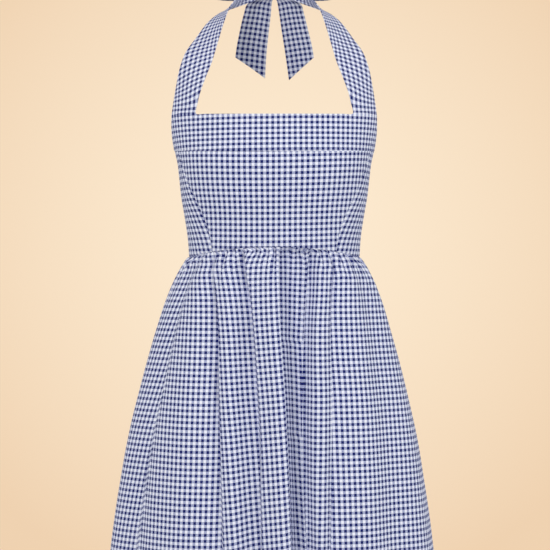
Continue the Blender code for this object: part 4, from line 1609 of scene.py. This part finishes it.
@dataclass
class Zip:
    """The zip in the centre back seam: a tape and coil inside, a slider and its pull tab."""

    finishes: Finishes
    skirt: Skirt
    top_inset: float = 1.5 * MM
    bottom_z: float = -558 * MM
    half_width: float = 11 * MM
    thickness: float = 0.5 * MM
    inside: float = 1.65
    at_seam: tuple[float, float] = (0.9, 9 * MM)
    in_skirt: tuple[float, float] = (0.75, 12 * MM)
    curl_radius: float = 0.16

    def back_line(self, z: Array) -> Array:
        """y of the cloth's outer face at the centre back."""
        angle = np.full(np.shape(z), math.pi)
        part = (PATTERN.waist_side_z - z) / (PATTERN.waist_side_z - PATTERN.hem_z)
        above = TORSO_FORM.at(angle, np.maximum(z, PATTERN.waist_side_z) / MM)[1]
        below = self.skirt.point(angle, np.maximum(part, 0))[..., 1]
        return np.where(z > PATTERN.waist_side_z, above, below)

    def tape(self) -> None:
        """Makes the tape inside the seam."""
        u, v = np.meshgrid(np.linspace(0, 1, 13), np.linspace(0, 1, 121))
        z = mix(PATTERN.back_top_z - self.top_inset, self.bottom_z, v)
        x = mix(self.half_width, -self.half_width, u)
        below = PATTERN.waist_side_z - z
        depth = self.inside + self.at_seam[0] * np.exp(-((below / self.at_seam[1]) ** 2))
        depth = depth + self.in_skirt[0] * np.clip(below / self.in_skirt[1], 0, 1)
        y = self.back_line(z) - depth * MM * 1.02 - x**2 / (2 * self.curl_radius)
        points, cloth = np.stack([x, y, z], -1), np.stack([x, z - z.max()], -1)
        tape = grid_piece("zip_tape_woven", points, cloth)
        thicken(tape, self.thickness)
        paint(tape, self.finishes.tape.material("zip_tape_woven"))
        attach(tape, "dress")
        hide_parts("zip_tape")
        LOG.info("zip_tape_woven: %d faces", len(tape.data.polygons))

    def build(self) -> None:
        """Makes the tape, and enamels the slider and the pull tab."""
        self.tape()
        for node in ("zip_slider", "zip_pull_tab"):
            paint(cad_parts[node], self.finishes.enamel.material("enamel_" + node))
            LOG.info("%s: enamelled", node)


class Lamp(NamedTuple):
    """A soft square light: its place, its side in metres, its power and its colour."""

    name: str
    place: tuple[float, float, float]
    size: float
    power: float
    colour: Colour


@dataclass
class Studio:
    """A round pale backdrop with its floor, soft lights and the camera."""

    floor_z: float = -2.1
    radius: float = 7.0
    cove: float = 1.2
    wall_top: float = 4.2
    # The backdrop's painted glow: where it is brightest, how far it reaches, and its colours there
    # and at its rim.
    glow_centre: tuple[float, float, float] = (0.0, -7.0, 0.2)
    glow_reach: float = 2.1
    glow: Colour = (0.98, 0.825, 0.63, 1)
    rim: Colour = (0.86, 0.635, 0.425, 1)
    lamps: tuple[Lamp, ...] = (
        Lamp("key_light", (-1.2, -2.9, 0.7), 1.8, 42, (1.0, 0.985, 0.97)),
        Lamp("side_light", (2.6, -1.6, 0.2), 2.2, 25, (0.97, 0.98, 1.0)),
        Lamp("back_light", (0.4, 2.6, 1.2), 1.8, 20, (1.0, 0.96, 0.92)),
    )
    aim: tuple[float, float, float] = (0, -0.07, -0.45)
    room: Colour = (0.97, 0.98, 1.0, 1)
    room_strength: float = 0.53
    camera_at: tuple[float, float, float] = (0.00105, -2.67, -0.451)
    lens: float = 113.5

    def backdrop(self) -> None:
        """Makes the floor that sweeps up into a round wall."""
        u, v = np.meshgrid(np.linspace(0, 1, 97), np.linspace(0, 1, 41))
        flat, bend = self.radius - self.cove, self.cove * math.pi / 2
        wall = self.wall_top - self.floor_z - self.cove
        run = (1 - v) * (flat + bend + wall)
        turn = np.clip((run - flat) / self.cove, 0, math.pi / 2)
        out = np.minimum(run, flat) + self.cove * np.sin(turn)
        up = self.floor_z + self.cove * (1 - np.cos(turn)) + np.maximum(run - flat - bend, 0)
        around = 2 * math.pi * u
        points = np.stack([out * np.cos(around), out * np.sin(around), up], -1)
        piece = grid_piece("backdrop", points, np.stack([u, v], -1))
        weld([piece], 1 * MM)
        piece.data.flip_normals()
        choose(piece)
        bpy.ops.object.shade_smooth()
        paint(piece, self.painted_glow_backdrop())
        piece.visible_diffuse = False
        piece.visible_glossy = False
        piece.visible_shadow = False

    def painted_glow_backdrop(self) -> Material:
        """The backdrop's self-lit surface, a painted glow: pale and brightest behind the dress, a
        little darker away from the middle of the view.
        """
        pen = MaterialPen("backdrop")
        length = pen.node("ShaderNodeVectorMath", operation="LENGTH")
        pen.feed(length.inputs[0], pen.moved(pen.object_place(), self.glow_centre))
        away = pen.math("DIVIDE", length.outputs["Value"], self.glow_reach)
        part = pen.math("MINIMUM", pen.math("POWER", away, 1.5), 1.0)
        # Painted light: the backdrop glows by itself and is seen only by the camera.
        return pen.surface({
            "Base Color": (0.05, 0.045, 0.04, 1), "Roughness": 1.0, "Specular IOR Level": 0.0,
            "Emission Color": pen.tint(part, self.glow, self.rim), "Emission Strength": 0.975})

    def light(self, lamp: Lamp) -> None:
        """Adds a lamp, aimed at the middle of the dress."""
        deselect()
        bpy.ops.object.light_add(type="AREA", location=lamp.place)
        made = bpy.context.object
        made.name = lamp.name
        made.data.size = lamp.size
        made.data.energy = lamp.power
        made.data.color = lamp.colour
        aim = Vector(self.aim) - Vector(lamp.place)
        made.rotation_euler = aim.to_track_quat("-Z", "Y").to_euler()
        made.visible_camera = False

    def build(self) -> None:
        """Makes the backdrop, the lights, the world and the camera."""
        self.backdrop()
        for lamp in self.lamps:
            self.light(lamp)
        world = bpy.data.worlds.new("soft_room")
        bpy.context.scene.world = world
        world.use_nodes = True
        ground = world.node_tree.nodes["Background"]
        ground.inputs["Color"].default_value = self.room
        ground.inputs["Strength"].default_value = self.room_strength
        deselect()
        bpy.ops.object.camera_add(location=self.camera_at, rotation=(math.pi / 2, 0, 0))
        camera = bpy.context.object
        camera.data.lens = self.lens
        camera.data.sensor_width = 36
        camera.data.clip_end = 60
        bpy.context.scene.camera = camera
        bpy.context.scene.view_settings.view_transform = "Standard"


def main() -> None:
    """Builds the looks of the dress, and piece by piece."""
    logging.basicConfig(level=logging.INFO, format="%(name)s: %(message)s")
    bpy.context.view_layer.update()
    finishes = Finishes(
        GinghamFinish(gingham_group()), TapeFinish(), EnamelFinish(wear_group()), ThreadFinish()
    )
    Bodice(finishes).build()
    skirt = Skirt(finishes)
    skirt.build()
    Yoke(finishes).build()
    Bow(finishes).build()
    Zip(finishes, skirt).build()
    Studio().build()


if __name__ == "__main__":
    main()
